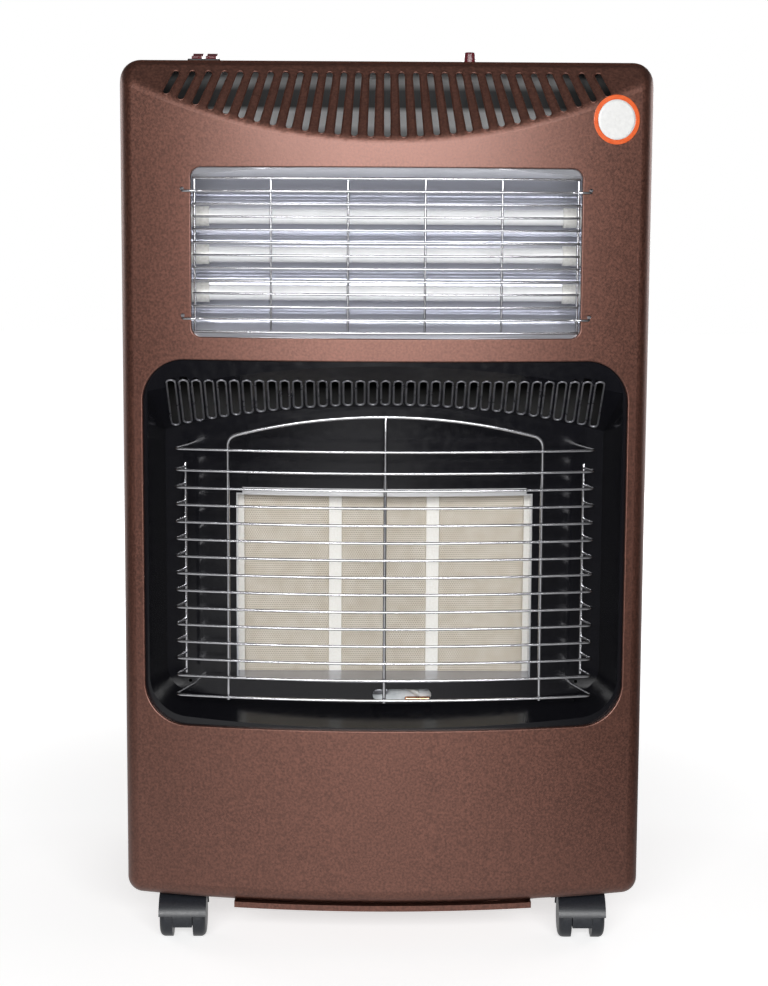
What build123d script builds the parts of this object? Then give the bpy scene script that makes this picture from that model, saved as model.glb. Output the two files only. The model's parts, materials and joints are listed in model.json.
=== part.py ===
"""Cabinet heater on castors: a bottled-gas plaque burner below, three electric quartz tubes above.

Millimetres. X runs across the cabinet, Y from the bowed front (-Y) to the rear door (+Y), Z up.
The origin is on the floor, under the middle of the cabinet.
"""
import os
from math import asin, cos, degrees, radians, sin, sqrt, tan

from build123d import *

os.makedirs("parts", exist_ok=True)

# ---------------------------------------------------------------- driving dimensions
# cabinet skin
cabinet_width = 420.0        # across the side panels
cabinet_depth = 430.0        # from the middle of the bowed front to the back of the hinge barrels
lid_height = 716.0           # top of the lid above the floor
panel_foot = 41.0            # lower edge of the skin above the floor
front_bow = 32.0             # how far the middle of the front stands before its corners
sheet = 1.2                  # steel sheet of every panel
corner_round = 14.0          # upright front corners, in plan
rear_round = 4.0             # upright rear corners, in plan
foot_roll = 13.0             # roll along the lower edge
shoulder_round = 16.0        # roll between sides and lid
seam = 0.3                   # gap between neighbouring panels
front_panel_depth = 70.0     # how far the front panel wraps back
lid_skirt = 26.0             # depth of the lid's down-turned edge
foot_flange = 22.0           # inward flange along the lower edge
rear_flange = 16.5           # inward flange of the side panels beside the door

# louvred cove along the top of the front
cove_foot = lid_height - 62.0  # height where the cove leaves the middle of the bowed front
cove_slope = 56.7            # slope of the cove from level, degrees
cove_round = 12.0            # soft bend between front and cove
brow_slope = 28.0            # bevel between cove and lid, from level, degrees
brow_drop = 4.0              # how far the brow bevel starts below the lid
louvre_top = lid_height - 9.0  # upper ends of the louvres
louvre_count = 29
louvre_width = 6.2
louvre_fan_radius = 398.0    # the louvres point to a centre this far above their upper ends
louvre_fan_step = cabinet_width / 262.5  # degrees between neighbours
louvre_lift = 1.5            # lower ends stop this far above the bend

# windows in the front panel
heater_window = (cabinet_width - 114.0, 132.2)
heater_window_z = lid_height - 149.6
heater_window_round = 8.0
burner_window = (cabinet_width - 34.0, 295.5)
burner_window_z = lid_height - 381.6
burner_window_round = 34.0
window_return = 4.0          # depth of the rolled edge round each window
window_edge = 1.0            # rounding of the rolled edge
guard_hole = 3.2

# gas burner and its black surround
surround_depth = 45.0        # from the front surface back to the surround's rear wall
surround_taper = 15.0        # side walls lean in, degrees
surround_lip = 7.0           # flange behind the window edge
vent_slope = 41.0            # vent band's fall towards the rear wall, degrees
vent_foot = burner_window_z + 108.6  # height where the band meets the rear wall in the middle
vent_top = vent_foot + 23.0  # upper ends of the vent slots
vent_count = 35
vent_pitch = (cabinet_width - 80.0) / (vent_count - 1)
vent_width = 6.8
vent_margin = 3.0            # lower ends stop this far before the rear wall
plaque = (70.0, 13.0, 150.0)
plaque_pitch = 80.3
plaque_front = 77.0          # from the front surface back to the plaques' face
plaque_z = burner_window_z - 39.9
gasket_wall = 4.5            # fibre gasket around the plaques
housing_wall = 1.6
plenum_depth = 14.0
funnel_taper = 15.0
pilot_window = (48.0, 9.5)
pilot_x = 15.0
pilot_z = plaque_z - 88.4

# lower wire guard
rod = 2.2                    # diameter of the level rods
frame_wire = 2.8             # diameter of the arch and side wires
guard_rows = 15
guard_row_pitch = 14.1
guard_top_z = burner_window_z + 76.4
guard_half = burner_window[0] / 2 - 26.0  # half length of a rod, to its bend
guard_inset = 4.0            # rods' centre line behind the front surface
guard_return = 24.0          # straight ends, turned back to the side wires
guard_lean = 12.0            # the ends lean inwards, degrees
guard_bend = 5.0
arch_half = guard_half - 42.0
arch_shoulder_z = guard_top_z + 6.2
arch_top_z = guard_top_z + 27.7
weld_gap = 0.02              # welded wires are modelled this far from each other

# electric section
tube_diameter = 12.0
tube_wall = 1.0
tube_half = heater_window[0] / 2 - 6.0
tube_pitch = 30.2
tube_z = heater_window_z - 2.3  # middle tube
tube_depth = 50.0            # tube centre line behind the front surface
reflector_depth = 63.0
reflector_gauge = 0.8
trough_depth = 11.0
heater_guard_rows = 13
heater_guard_pitch = 9.87
heater_guard_columns = 6
heater_guard_column_pitch = (heater_window[0] - 5.5) / (heater_guard_columns - 1)
heater_wire = 2.0
cap_diameter = 16.0
cap_length = 19.0
cap_cover = 6.0              # how far a cap reaches over its tube
coil_diameter = 5.0
coil_lead = 2.0

# compartments
shield_setback = 108.0       # front surface to the heat shield
shelf_height = lid_height - 75.0  # shelf under the controls
shelf_depth = 45.0
deck_height = 46.0           # underside of the base tray's deck
well_floor = 36.0            # underside of the bottle well
well = (cabinet_width - 178.0, cabinet_depth - 180.0)
well_y = 30.0

# controls on the lid
knob_x = 67.0
knob_y = 102.0 - cabinet_depth / 2
knob_diameter = 44.0
knob_skirt = 8.0
knob_top = lid_height + 10.0
grip_width = 10.0
dish_diameter = 56.0
dish_depth = 12.0
knob_lift = 5.0              # knob above the dish floor
knob_travel = 4.0
spindle_diameter = 8.0
switch_x = 63.5 - cabinet_width / 2
switch_y = 90.0 - cabinet_depth / 2
switch_size = (27.0, 31.0)
switch_rim = 3.0
rocker_pitch = 11.4
rocker_size = (8.4, 22.0)
rocker_tilt = 9.0
rocker_pivot_z = lid_height + 0.5
switch_depth = 16.0          # switch body below the lid
rocker_well = 12.0           # pocket under each rocker

# rear door
barrel_radius = 3.0          # hinge barrels
barrel_gap = 0.4             # barrels stand this far off the panels
hinge_heights = (150.0, lid_height - 126.0)
knuckle = 12.0               # length of one of a hinge's three knuckles
leaf = 1.0                   # hinge leaf thickness
pin_diameter = 3.0
door_gap = 1.8               # door edge to the side panel's flange
door_fold = 12.0
door_foot = 50.0
door_slot = (92.0, 4.5)
door_slot_pitch = 11.0
door_slot_rows = 7
cup = (40.0, 90.0, 10.0)     # finger cup near the door's free edge
cup_x = cabinet_width / 2 - 60.0
cup_z = lid_height - 336.0
leaf_length = 36.0

# castors
wheel_diameter = 36.0
wheel_width = 10.6
castor_width = 39.0
castor_front_x = cabinet_width / 2 - 45.0
castor_rear_x = cabinet_width / 2 - 42.0
castor_front_y = 65.0 - cabinet_depth / 2
castor_rear_y = cabinet_depth / 2 - 65.0
castor_trail = 15.0
web_width = 16.0
web_foot = 13.0
stem_diameter = 10.0
socket_height = 28.0
hood_gauge = 1.8
axle_diameter = 7.0

# fits
running = 0.05               # radial clearance of shafts and pins
clearance = 0.3

# ---------------------------------------------------------------- values that follow
front_y = -cabinet_depth / 2
rear_y = cabinet_depth / 2 - 2 * barrel_radius - barrel_gap
bow_radius = ((cabinet_width / 2) ** 2 + front_bow ** 2) / (2 * front_bow)
bow_centre_y = front_y + bow_radius
front_seam_y = front_y + front_panel_depth
lid_seam_z = lid_height - lid_skirt


def bow_y(x, inset=0.0):
    """Y of the bowed front surface at x, `inset` behind it."""
    return bow_centre_y - sqrt((bow_radius - inset) ** 2 - x * x)


def save(part, name):
    """Labels a finished piece and writes its STEP file."""
    part.label = name
    export_step(part, f"parts/{name}.step")


def box_between(low, high):
    """A plain box from its two corners, kept outside any builder."""
    size = [b - a for a, b in zip(low, high)]
    middle = [(a + b) / 2 for a, b in zip(low, high)]
    return Pos(*middle) * Box(*size, mode=Mode.PRIVATE)


def bowed_slab(near, far, half, low, high):
    """The space between two insets of the bowed front, as wide and tall as given."""
    with BuildPart(mode=Mode.PRIVATE) as slab:
        with BuildSketch(Plane.XY.offset(low)):
            with BuildLine():
                near_arc = ThreePointArc(
                    (-half, bow_y(half, near)), (0, front_y + near), (half, bow_y(half, near)))
                far_arc = ThreePointArc(
                    (-half, bow_y(half, far)), (0, front_y + far), (half, bow_y(half, far)))
                Line(near_arc @ 0, far_arc @ 0)
                Line(near_arc @ 1, far_arc @ 1)
            make_face()
        extrude(amount=high - low)
    return slab.part


def slope_plane(y, z, angle):
    """A plane through (y, z) that rises to the rear at `angle` degrees and faces up and forward."""
    rise = radians(angle)
    return Plane(origin=(0, y, z), x_dir=(1, 0, 0), z_dir=(0, -sin(rise), cos(rise)))


# ---------------------------------------------------------------- cabinet skin
brow_z = lid_height - 2.0
brow_y = front_y + (lid_height - brow_drop - cove_foot) / tan(radians(cove_slope))


def facing(face, angle):
    """True where a flat face looks the way of `slope_plane` at this angle."""
    normal = slope_plane(0, 0, angle).z_dir
    return face.geom_type == GeomType.PLANE and face.normal_at().dot(normal) > 0.999


def skin_form(inset):
    """Outer form of the whole cabinet, drawn in by `inset` on every face."""
    half = cabinet_width / 2 - inset
    reach = 3 * cabinet_width
    with BuildPart(mode=Mode.PRIVATE) as form:
        with BuildSketch(Plane.XY.offset(panel_foot + inset)) as plan:
            with BuildLine():
                arc = ThreePointArc(
                    (-half, bow_y(half, inset)), (0, front_y + inset), (half, bow_y(half, inset)))
                Polyline(arc @ 1, (half, rear_y - inset), (-half, rear_y - inset), arc @ 0)
            make_face()
            fillet(plan.vertices().group_by(Axis.Y)[0], corner_round - inset)
            fillet(plan.vertices().group_by(Axis.Y)[-1], rear_round - inset)
        extrude(amount=lid_height - panel_foot - 2 * inset)
        fillet(form.faces().sort_by(Axis.Z)[0].edges(), foot_roll - inset)
        top_edges = form.faces().sort_by(Axis.Z)[-1].edges()
        fillet(top_edges.filter_by(Axis.Y), shoulder_round - inset)
        with BuildSketch(slope_plane(front_y, cove_foot, cove_slope).offset(-inset)):
            Rectangle(reach, reach)
        extrude(amount=reach / 4, mode=Mode.SUBTRACT)
        cove = form.faces().filter_by(lambda face: facing(face, cove_slope))[0]
        fillet(cove.edges().filter_by(lambda edge: edge.center().Z < brow_z), cove_round - inset)
        with BuildSketch(slope_plane(brow_y, lid_height - brow_drop, brow_slope).offset(-inset)):
            Rectangle(reach, reach)
        extrude(amount=reach / 4, mode=Mode.SUBTRACT)
    return form.part


skin = skin_form(0) - skin_form(sheet)
interior = skin_form(sheet + clearance)


def bowed_block(inset, half, back_y, low, high):
    """A block with the cabinet's bowed front, `inset` behind it, and a flat back."""
    with BuildPart(mode=Mode.PRIVATE) as block:
        with BuildSketch(Plane.XY.offset(low)):
            with BuildLine():
                arc = ThreePointArc(
                    (-half, bow_y(half, inset)), (0, front_y + inset), (half, bow_y(half, inset)))
                Polyline(arc @ 1, (half, back_y), (-half, back_y), arc @ 0)
            make_face()
        extrude(amount=high - low)
    return block.part


def window_prism(size, z, corner, grow):
    """A prism through the front at a window, `grow` larger on every side."""
    with BuildPart(mode=Mode.PRIVATE) as prism:
        with BuildSketch(Plane.XZ.offset(1 - front_y)):
            with Locations((0, z)):
                RectangleRounded(size[0] + 2 * grow, size[1] + 2 * grow, corner + grow)
        extrude(amount=-2 * front_bow)
    return prism.part


def bar_along_y(point, radius, length, turn=0.0):
    """A round bar along Y about a point, turned about Z, for drilling the panels."""
    return Pos(*point) * Rot(0, 0, turn) * Rot(90, 0, 0) * Cylinder(radius, length, mode=Mode.PRIVATE)


# ---------------------------------------------------------------- front panel
half_width = cabinet_width / 2
windows = (
    (heater_window, heater_window_z, heater_window_round),
    (burner_window, burner_window_z, burner_window_round),
)
louvre_y = front_y + (louvre_top - cove_foot) / tan(radians(cove_slope))
hook_x = heater_window[0] / 2 + 7.0
heater_guard_top = heater_window_z + heater_guard_pitch * (heater_guard_rows - 1) / 2
hook_heights = [heater_guard_top - heater_guard_pitch * row for row in (1, heater_guard_rows - 2)]


def louvre_foot(x):
    """Distance down the cove from the louvres' upper ends to its bend, at x."""
    rise = radians(cove_slope)
    return (louvre_top - cove_foot) / sin(rise) - (bow_y(x) - front_y) / cos(rise)


with BuildPart() as front_panel:
    add(skin)
    add(box_between((-half_width, front_y, 0), (half_width, front_seam_y, lid_height)),
        mode=Mode.INTERSECT)
    add(bowed_block(foot_flange, half_width - foot_flange, rear_y, 0, panel_foot + foot_roll),
        mode=Mode.SUBTRACT)
    for size, height, corner in windows:
        low, high = height - size[1], height + size[1]
        collar = window_prism(size, height, corner, sheet)
        add(collar & bowed_slab(sheet / 2, window_return, half_width, low, high))
        add(window_prism(size, height, corner, 0), mode=Mode.SUBTRACT)
    bowed_face = front_panel.faces().sort_by(SortBy.AREA)[-1]
    fillet([edge for rim in bowed_face.inner_wires() for edge in rim.edges()], window_edge)
    with BuildSketch(slope_plane(louvre_y, louvre_top, cove_slope)):
        for index in range(louvre_count):
            turn = radians((index - (louvre_count - 1) / 2) * louvre_fan_step)
            foot_x = louvre_fan_radius * tan(turn)
            for _ in range(3):
                foot_x = (louvre_fan_radius + louvre_foot(foot_x)) * tan(turn)
            start = louvre_fan_radius / cos(turn)
            end = (louvre_fan_radius + louvre_foot(foot_x) - louvre_lift) / cos(turn)
            middle = (start + end) / 2
            with Locations((middle * sin(turn), louvre_fan_radius - middle * cos(turn))):
                SlotOverall(end - start, louvre_width, rotation=degrees(turn) - 90)
    extrude(amount=8 * sheet, both=True, mode=Mode.SUBTRACT)
    for x in (-hook_x, hook_x):
        for z in hook_heights:
            add(bar_along_y((x, bow_y(x), z), guard_hole / 2, 12 * sheet), mode=Mode.SUBTRACT)
save(front_panel.part, "front_panel")

# ---------------------------------------------------------------- lid
knob_floor = lid_height - dish_depth
lid_front = front_seam_y + seam
switch_body = (switch_size[0] - 3.0, switch_size[1] - 3.6)

with BuildPart() as top_cover:
    add(skin)
    add(box_between((-half_width, lid_front, lid_seam_z), (half_width, rear_y, lid_height)),
        mode=Mode.INTERSECT)
    with BuildSketch(Plane.XY.offset(knob_floor - sheet)):
        with Locations((knob_x, knob_y)):
            Circle(dish_diameter / 2 + sheet)
    extrude(amount=dish_depth + sheet)
    with BuildSketch(Plane.XY.offset(knob_floor)):
        with Locations((knob_x, knob_y)):
            Circle(dish_diameter / 2)
    extrude(amount=2 * dish_depth, mode=Mode.SUBTRACT)
    with Locations((knob_x, knob_y, knob_floor)):
        Hole(spindle_diameter / 2 + clearance, 2 * sheet)
    with BuildSketch(Plane.XY.offset(lid_height - 2 * sheet)):
        with Locations((switch_x, switch_y)):
            Rectangle(switch_body[0] + clearance, switch_body[1] + clearance)
    extrude(amount=3 * sheet, mode=Mode.SUBTRACT)
save(top_cover.part, "top_cover")

# ---------------------------------------------------------------- side panels
gland_z = 95.0
gland_x = half_width - rear_flange / 2 - rear_round / 2
gland_neck = 4.0


def side_panel(side):
    """One side wall with its rear flange and rolled foot; side is -1 left or +1 right."""
    inner = half_width - foot_flange
    door_edge = half_width - rear_flange
    wall = skin & box_between((min(side * inner, side * half_width), lid_front, 0),
                              (max(side * inner, side * half_width), rear_y, lid_seam_z - seam))
    doorway = box_between((-door_edge, rear_y - foot_roll, panel_foot),
                          (door_edge, rear_y + 1, lid_height))
    wall -= doorway
    if side > 0:
        wall -= bar_along_y((gland_x, rear_y, gland_z), gland_neck, 8 * sheet)
    return wall


with BuildPart() as side_panel_left:
    add(side_panel(-1))
save(side_panel_left.part, "side_panel_left")

with BuildPart() as side_panel_right:
    add(side_panel(1))
save(side_panel_right.part, "side_panel_right")

# ---------------------------------------------------------------- base tray
tray_inset = foot_roll + 1.0
tray_half = half_width - tray_inset
tray_back = rear_y - tray_inset
tray_foot = panel_foot + sheet
toe_inset = 3.5
toe_top = panel_foot - clearance
castor_spots = {
    "front_left": (-castor_front_x, castor_front_y),
    "front_right": (castor_front_x, castor_front_y),
    "rear_left": (-castor_rear_x, castor_rear_y),
    "rear_right": (castor_rear_x, castor_rear_y),
}

with BuildPart() as base_tray:
    add(bowed_block(tray_inset, tray_half, tray_back, tray_foot, deck_height + sheet))
    add(bowed_block(tray_inset + sheet, tray_half - sheet, tray_back - sheet,
                    tray_foot, deck_height), mode=Mode.SUBTRACT)
    well_back = well_y + well[1] / 2
    add(bowed_block(foot_flange + clearance, well[0] / 2, well_back, well_floor, deck_height))
    add(bowed_slab(toe_inset, foot_flange + sheet, well[0] / 2, well_floor, toe_top))
    add(bowed_slab(toe_inset + sheet, foot_flange + clearance, well[0] / 2 - sheet,
                   well_floor + sheet, deck_height), mode=Mode.SUBTRACT)
    add(bowed_block(foot_flange + clearance + sheet, well[0] / 2 - sheet, well_back - sheet,
                    well_floor + sheet, deck_height + 2 * sheet), mode=Mode.SUBTRACT)
    with BuildSketch(Plane.XY.offset(deck_height)):
        with Locations(*castor_spots.values()):
            Circle(stem_diameter / 2 + 2.0)
    extrude(amount=socket_height)
    with BuildSketch(Plane.XY.offset(deck_height)):
        with Locations(*castor_spots.values()):
            Circle(stem_diameter / 2 + running)
    extrude(amount=socket_height, mode=Mode.SUBTRACT)
save(base_tray.part, "base_tray")

# ---------------------------------------------------------------- heat shield and hot-air baffle
shield_y = front_y + shield_setback
shelf_back = shield_y + shelf_depth
pipe_diameter = 8.0
pipe_drop_x = half_width - 30.0
pipe_y = shield_y + 9.0
valve_pipe_x = knob_x
manifold_z = plaque_z - 144.5
hose_z = lid_height - 36.0
baffle_gauge = 0.8


def bent_sheet(points, bend, half, gauge):
    """A sheet folded along X: its section runs through (y, z) points."""
    with BuildPart(mode=Mode.PRIVATE) as bent:
        with BuildSketch(Plane.YZ):
            with BuildLine():
                FilletPolyline(*points, radius=bend)
            trace(line_width=gauge)
        extrude(amount=half, both=True)
    return bent.part


with BuildPart() as heat_shield:
    add(bent_sheet(((shield_y, deck_height + sheet), (shield_y, shelf_height),
                    (shelf_back, shelf_height), (shelf_back, lid_height)), 2, half_width, sheet))
    add(interior, mode=Mode.INTERSECT)
    with Locations((valve_pipe_x, pipe_y, shelf_height)):
        Cylinder(pipe_diameter / 2 + 1, 4 * sheet, mode=Mode.SUBTRACT)
    add(bar_along_y((pipe_drop_x, shield_y, manifold_z), pipe_diameter / 2 + 1, 4 * sheet),
        mode=Mode.SUBTRACT)
    add(bar_along_y((knob_x, shelf_back, hose_z), pipe_diameter, 4 * sheet),
        mode=Mode.SUBTRACT)
save(heat_shield.part, "heat_shield")

shield_face = shield_y - sheet / 2 - baffle_gauge / 2
with BuildPart() as hot_air_baffle:
    add(bent_sheet(((shield_face, shelf_height - 14), (shield_face, shelf_height + 5),
                    (shield_y - 29, shelf_height + 14), (shield_y - 53, shelf_height + 60),
                    (shield_y - 59, lid_height)), 4, half_width - 25, baffle_gauge))
    add(interior, mode=Mode.INTERSECT)
save(hot_air_baffle.part, "hot_air_baffle")

# ---------------------------------------------------------------- black burner surround
mouth = (burner_window[0] + 9.2, burner_window[1] + 7.5)
mouth_z = burner_window_z + 4.1
mouth_round = burner_window_round + 4.0
aperture_low = plaque_z - 77.9  # burner opening in the surround's rear wall
aperture_high = plaque_z + 75.7
plaque_y = front_y + plaque_front
plaque_span = 2 * plaque_pitch + plaque[0]
gasket_outer = (plaque_span + 2 * gasket_wall, plaque[2] + 2 * gasket_wall)
aperture_half = gasket_outer[0] / 2 - 1.3
vent_y = front_y + surround_depth - (vent_top - vent_foot) / tan(radians(vent_slope))
back_guard_row_z = guard_top_z - guard_row_pitch * (guard_rows - 1)


def funnel(grow):
    """The flared duct from the plaques' edge forward to the surround, `grow` larger all round."""
    low = plaque_z - plaque[2] / 2
    rear = (gasket_outer[0] + 2 * grow, aperture_high - low + 2 * grow)
    front = (2 * aperture_half + 2 * grow, aperture_high - aperture_low + 2 * grow)
    with BuildPart(mode=Mode.PRIVATE) as duct:
        with BuildSketch(Plane.XZ.offset(-plaque_y)):
            with Locations((0, (aperture_high + low) / 2)):
                Rectangle(*rear)
        with BuildSketch(Plane.XZ.offset(-front_y - surround_depth / 2)):
            with Locations((0, (aperture_high + aperture_low) / 2)):
                Rectangle(*front)
        loft()
    return duct.part


def heading(x, inset):
    """Direction of the bowed front at x, in degrees from +X."""
    return degrees(asin(x / (bow_radius - inset)))


def rod_end(length):
    """Where a guard rod's straight, inward-leaning end reaches after `length`."""
    lean = radians(guard_lean)
    side = radians(heading(guard_half, guard_inset))
    turn_x = guard_half - guard_bend * (1 - sin(side))
    bend_x = turn_x - guard_bend * sin(side) + guard_bend * cos(lean)
    bend_y = bow_y(turn_x, guard_inset) + guard_bend * (cos(side) + sin(lean))
    return bend_x - length * sin(lean), bend_y + length * cos(lean)


wall_return = (bow_y(guard_half, surround_depth) - rod_end(0)[1]) / cos(radians(guard_lean))


def surround_cavity(grow, near):
    """The space inside the surround, `grow` larger all round, from inset `near` back."""
    band = Plane(origin=(0, front_y + surround_depth, vent_foot), x_dir=(1, 0, 0),
                 z_dir=(0, sin(radians(vent_slope)), cos(radians(vent_slope))))
    with BuildPart(mode=Mode.PRIVATE) as cavity:
        with BuildSketch(Plane.XZ.offset(-front_y)):
            with Locations((0, mouth_z)):
                RectangleRounded(mouth[0] + 2 * grow, mouth[1] + 2 * grow, mouth_round + grow)
        extrude(amount=-2 * surround_depth, taper=surround_taper)
        with BuildSketch(band.offset(grow)):
            Rectangle(2 * cabinet_width, cabinet_width)
        extrude(amount=cabinet_width, mode=Mode.SUBTRACT)
        add(bowed_slab(near, surround_depth + grow, half_width,
                       mouth_z - mouth[1], mouth_z + mouth[1]), mode=Mode.INTERSECT)
    return cavity.part


def vent_length(x):
    """Length of the vent slot at x, from its upper end down to the rear wall's margin."""
    return (bow_y(x, surround_depth) - vent_y) / cos(radians(vent_slope)) - vent_margin


with BuildPart() as burner_surround:
    lip_prism = window_prism(burner_window, burner_window_z, burner_window_round, surround_lip)
    add(lip_prism & bowed_slab(window_return, window_return + sheet, half_width,
                               0, 2 * burner_window_z))
    add(surround_cavity(sheet, window_return))
    add(surround_cavity(0, window_return / 2), mode=Mode.SUBTRACT)
    with BuildSketch(Plane(origin=(0, vent_y, vent_top), x_dir=(1, 0, 0),
                           z_dir=(0, sin(radians(vent_slope)), cos(radians(vent_slope))))):
        for index in range(vent_count):
            x = (index - (vent_count - 1) / 2) * vent_pitch
            with Locations((x, vent_length(x) / 2)):
                SlotOverall(vent_length(x), vent_width, rotation=90)
    extrude(amount=4 * sheet, both=True, mode=Mode.SUBTRACT)
    add(funnel(sheet + clearance), mode=Mode.SUBTRACT)
    with BuildSketch(Plane.XZ.offset(-front_y)):
        with Locations((pilot_x, pilot_z)):
            SlotOverall(*pilot_window)
    extrude(amount=-surround_depth - 4 * sheet, mode=Mode.SUBTRACT)
    for side in (-1, 1):
        for z in (guard_top_z, back_guard_row_z):
            x, y = rod_end(wall_return)
            add(bar_along_y((side * x, y, z), rod / 2 + clearance, 12 * sheet, side * guard_lean),
                mode=Mode.SUBTRACT)
save(burner_surround.part, "burner_surround")

# ---------------------------------------------------------------- plaque burner
housing_size = (gasket_outer[0] + 2 * housing_wall, gasket_outer[1] + 2 * housing_wall)
housing_back = shield_y - sheet / 2
tube_radius = 9.0            # mixing tubes
mixing_y = plaque_y + 15.0
mixing_foot = manifold_z + 28.0
plaque_names = ("plaque_left", "plaque_middle", "plaque_right")

for index, name in enumerate(plaque_names):
    with BuildPart() as ceramic_plaque:
        with BuildSketch(Plane.XZ.offset(-plaque_y)):
            with Locations(((index - 1) * plaque_pitch, plaque_z)):
                Rectangle(plaque[0], plaque[2])
        extrude(amount=-plaque[1])
        chamfer(ceramic_plaque.faces().sort_by(Axis.Y)[0].edges(), 0.8)
    save(ceramic_plaque.part, name)

with BuildPart() as plaque_gasket:
    with BuildSketch(Plane.XZ.offset(-plaque_y)):
        with Locations((0, plaque_z)):
            Rectangle(*gasket_outer)
            with GridLocations(plaque_pitch, 1, 3, 1):
                Rectangle(plaque[0], plaque[2], mode=Mode.SUBTRACT)
    extrude(amount=-plaque[1])
save(plaque_gasket.part, "plaque_gasket")

with BuildPart() as burner_housing:
    with BuildSketch(Plane.XZ.offset(-plaque_y)):
        with Locations((0, plaque_z)):
            Rectangle(*housing_size)
    extrude(amount=plaque_y - housing_back)
    fillet(burner_housing.edges().filter_by(Axis.Y), 4)
    with BuildSketch(Plane.XZ.offset(-plaque_y)):
        with Locations((0, plaque_z)):
            Rectangle(*gasket_outer)
    extrude(amount=-plaque[1], mode=Mode.SUBTRACT)
    with BuildSketch(Plane.XZ.offset(-plaque_y - plaque[1])):
        with Locations((0, plaque_z)):
            with GridLocations(plaque_pitch, 1, 3, 1):
                Rectangle(plaque[0] - 8, plaque[2] - 8)
    extrude(amount=plaque_y + plaque[1] - housing_back + housing_wall, mode=Mode.SUBTRACT)
    housing_foot = plaque_z - housing_size[1] / 2
    with BuildSketch(Plane.XY.offset(mixing_foot)):
        with Locations((0, mixing_y)):
            with GridLocations(plaque_pitch, 1, 3, 1):
                Circle(tube_radius)
    extrude(amount=housing_foot - mixing_foot)
    with BuildSketch(Plane.XY.offset(mixing_foot)):
        with Locations((0, mixing_y)):
            with GridLocations(plaque_pitch, 1, 3, 1):
                Circle(tube_radius - housing_wall)
    extrude(amount=housing_foot - mixing_foot + 2 * gasket_wall, mode=Mode.SUBTRACT)
save(burner_housing.part, "burner_housing")

with BuildPart() as burner_frame:
    add(funnel(sheet))
    add(funnel(0), mode=Mode.SUBTRACT)
    add(bowed_block(surround_depth - 1.2, half_width, rear_y, 0, lid_height), mode=Mode.INTERSECT)
    add(bowed_slab(surround_depth - sheet, surround_depth, aperture_half - 3,
                   aperture_high, aperture_high + 6))
save(burner_frame.part, "burner_frame")

# ---------------------------------------------------------------- gas supply
with BuildPart() as gas_manifold:
    manifold_start = -plaque_pitch - 15
    with BuildLine() as gallery:
        Line((manifold_start, mixing_y, manifold_z), (pipe_drop_x - 30, mixing_y, manifold_z))
    with BuildSketch(Plane(origin=gallery.line @ 0, z_dir=gallery.line % 0)):
        Circle(6)
    sweep()
    for x in (manifold_start, pipe_drop_x - 45):
        add(box_between((x, mixing_y, manifold_z - 12), (x + 3, shield_y - sheet / 2, manifold_z + 4)))
save(gas_manifold.part, "gas_manifold")

with BuildPart() as injectors:
    with BuildSketch(Plane.XY.offset(manifold_z + 6.0)):
        with Locations((0, mixing_y)):
            with GridLocations(plaque_pitch, 1, 3, 1):
                RegularPolygon(5.5, 6)
    extrude(amount=5)
    with BuildSketch(Plane.XY.offset(manifold_z + 11.0)):
        with Locations((0, mixing_y)):
            with GridLocations(plaque_pitch, 1, 3, 1):
                Circle(3.5)
    extrude(amount=9, taper=8)
save(injectors.part, "injectors")

valve_top = knob_floor - sheet
valve_size = (34.0, 38.0, 40.0)
valve_low = valve_top - valve_size[2]
with BuildPart() as gas_valve:
    with BuildSketch(Plane.XY.offset(valve_low)):
        with Locations((knob_x, knob_y)):
            RectangleRounded(valve_size[0], valve_size[1], 5)
    extrude(amount=valve_size[2])
    with Locations((knob_x, knob_y, valve_top)):
        Hole(spindle_diameter / 2 + running, 20)
    with BuildSketch(Plane.XY.offset(valve_low - 6)):
        with Locations((valve_pipe_x, pipe_y)):
            RegularPolygon(8, 6)
    extrude(amount=10)
save(gas_valve.part, "gas_valve")

with BuildPart() as gas_pipe:
    with BuildLine() as route:
        FilletPolyline(
            (valve_pipe_x, pipe_y, valve_low - 6), (valve_pipe_x, pipe_y, shelf_height - 14),
            (pipe_drop_x, pipe_y, shelf_height - 14), (pipe_drop_x, pipe_y, manifold_z),
            (pipe_drop_x, mixing_y, manifold_z), (pipe_drop_x - 30, mixing_y, manifold_z),
            radius=10)
    with BuildSketch(Plane(origin=route.line @ 0, z_dir=route.line % 0)):
        Circle(pipe_diameter / 2)
    sweep()
save(gas_pipe.part, "gas_pipe")

nozzle_radius = 5.0
nozzle_length = 22.0
valve_rear = knob_y + valve_size[1] / 2
nozzle_tip_y = shelf_back + 32.0
with BuildPart() as hose_nozzle:
    with BuildSketch(Plane.XZ.offset(-valve_rear)):
        with Locations((knob_x, hose_z)):
            Circle(nozzle_radius + 1)
    extrude(amount=valve_rear + nozzle_length - nozzle_tip_y)
    with BuildSketch(Plane.XZ.offset(nozzle_length - nozzle_tip_y)):
        with Locations((knob_x, hose_z)):
            Circle(nozzle_radius)
    extrude(amount=-nozzle_length)
    with BuildSketch(Plane.XZ.offset(nozzle_length + 6 - nozzle_tip_y)):
        with Locations((knob_x, hose_z)):
            RegularPolygon(9, 6)
    extrude(amount=-6)
    bore_length = 2 * (nozzle_tip_y - valve_rear) + nozzle_length
    add(bar_along_y((knob_x, valve_rear, hose_z), nozzle_radius / 2, bore_length),
        mode=Mode.SUBTRACT)
save(hose_nozzle.part, "hose_nozzle")

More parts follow.
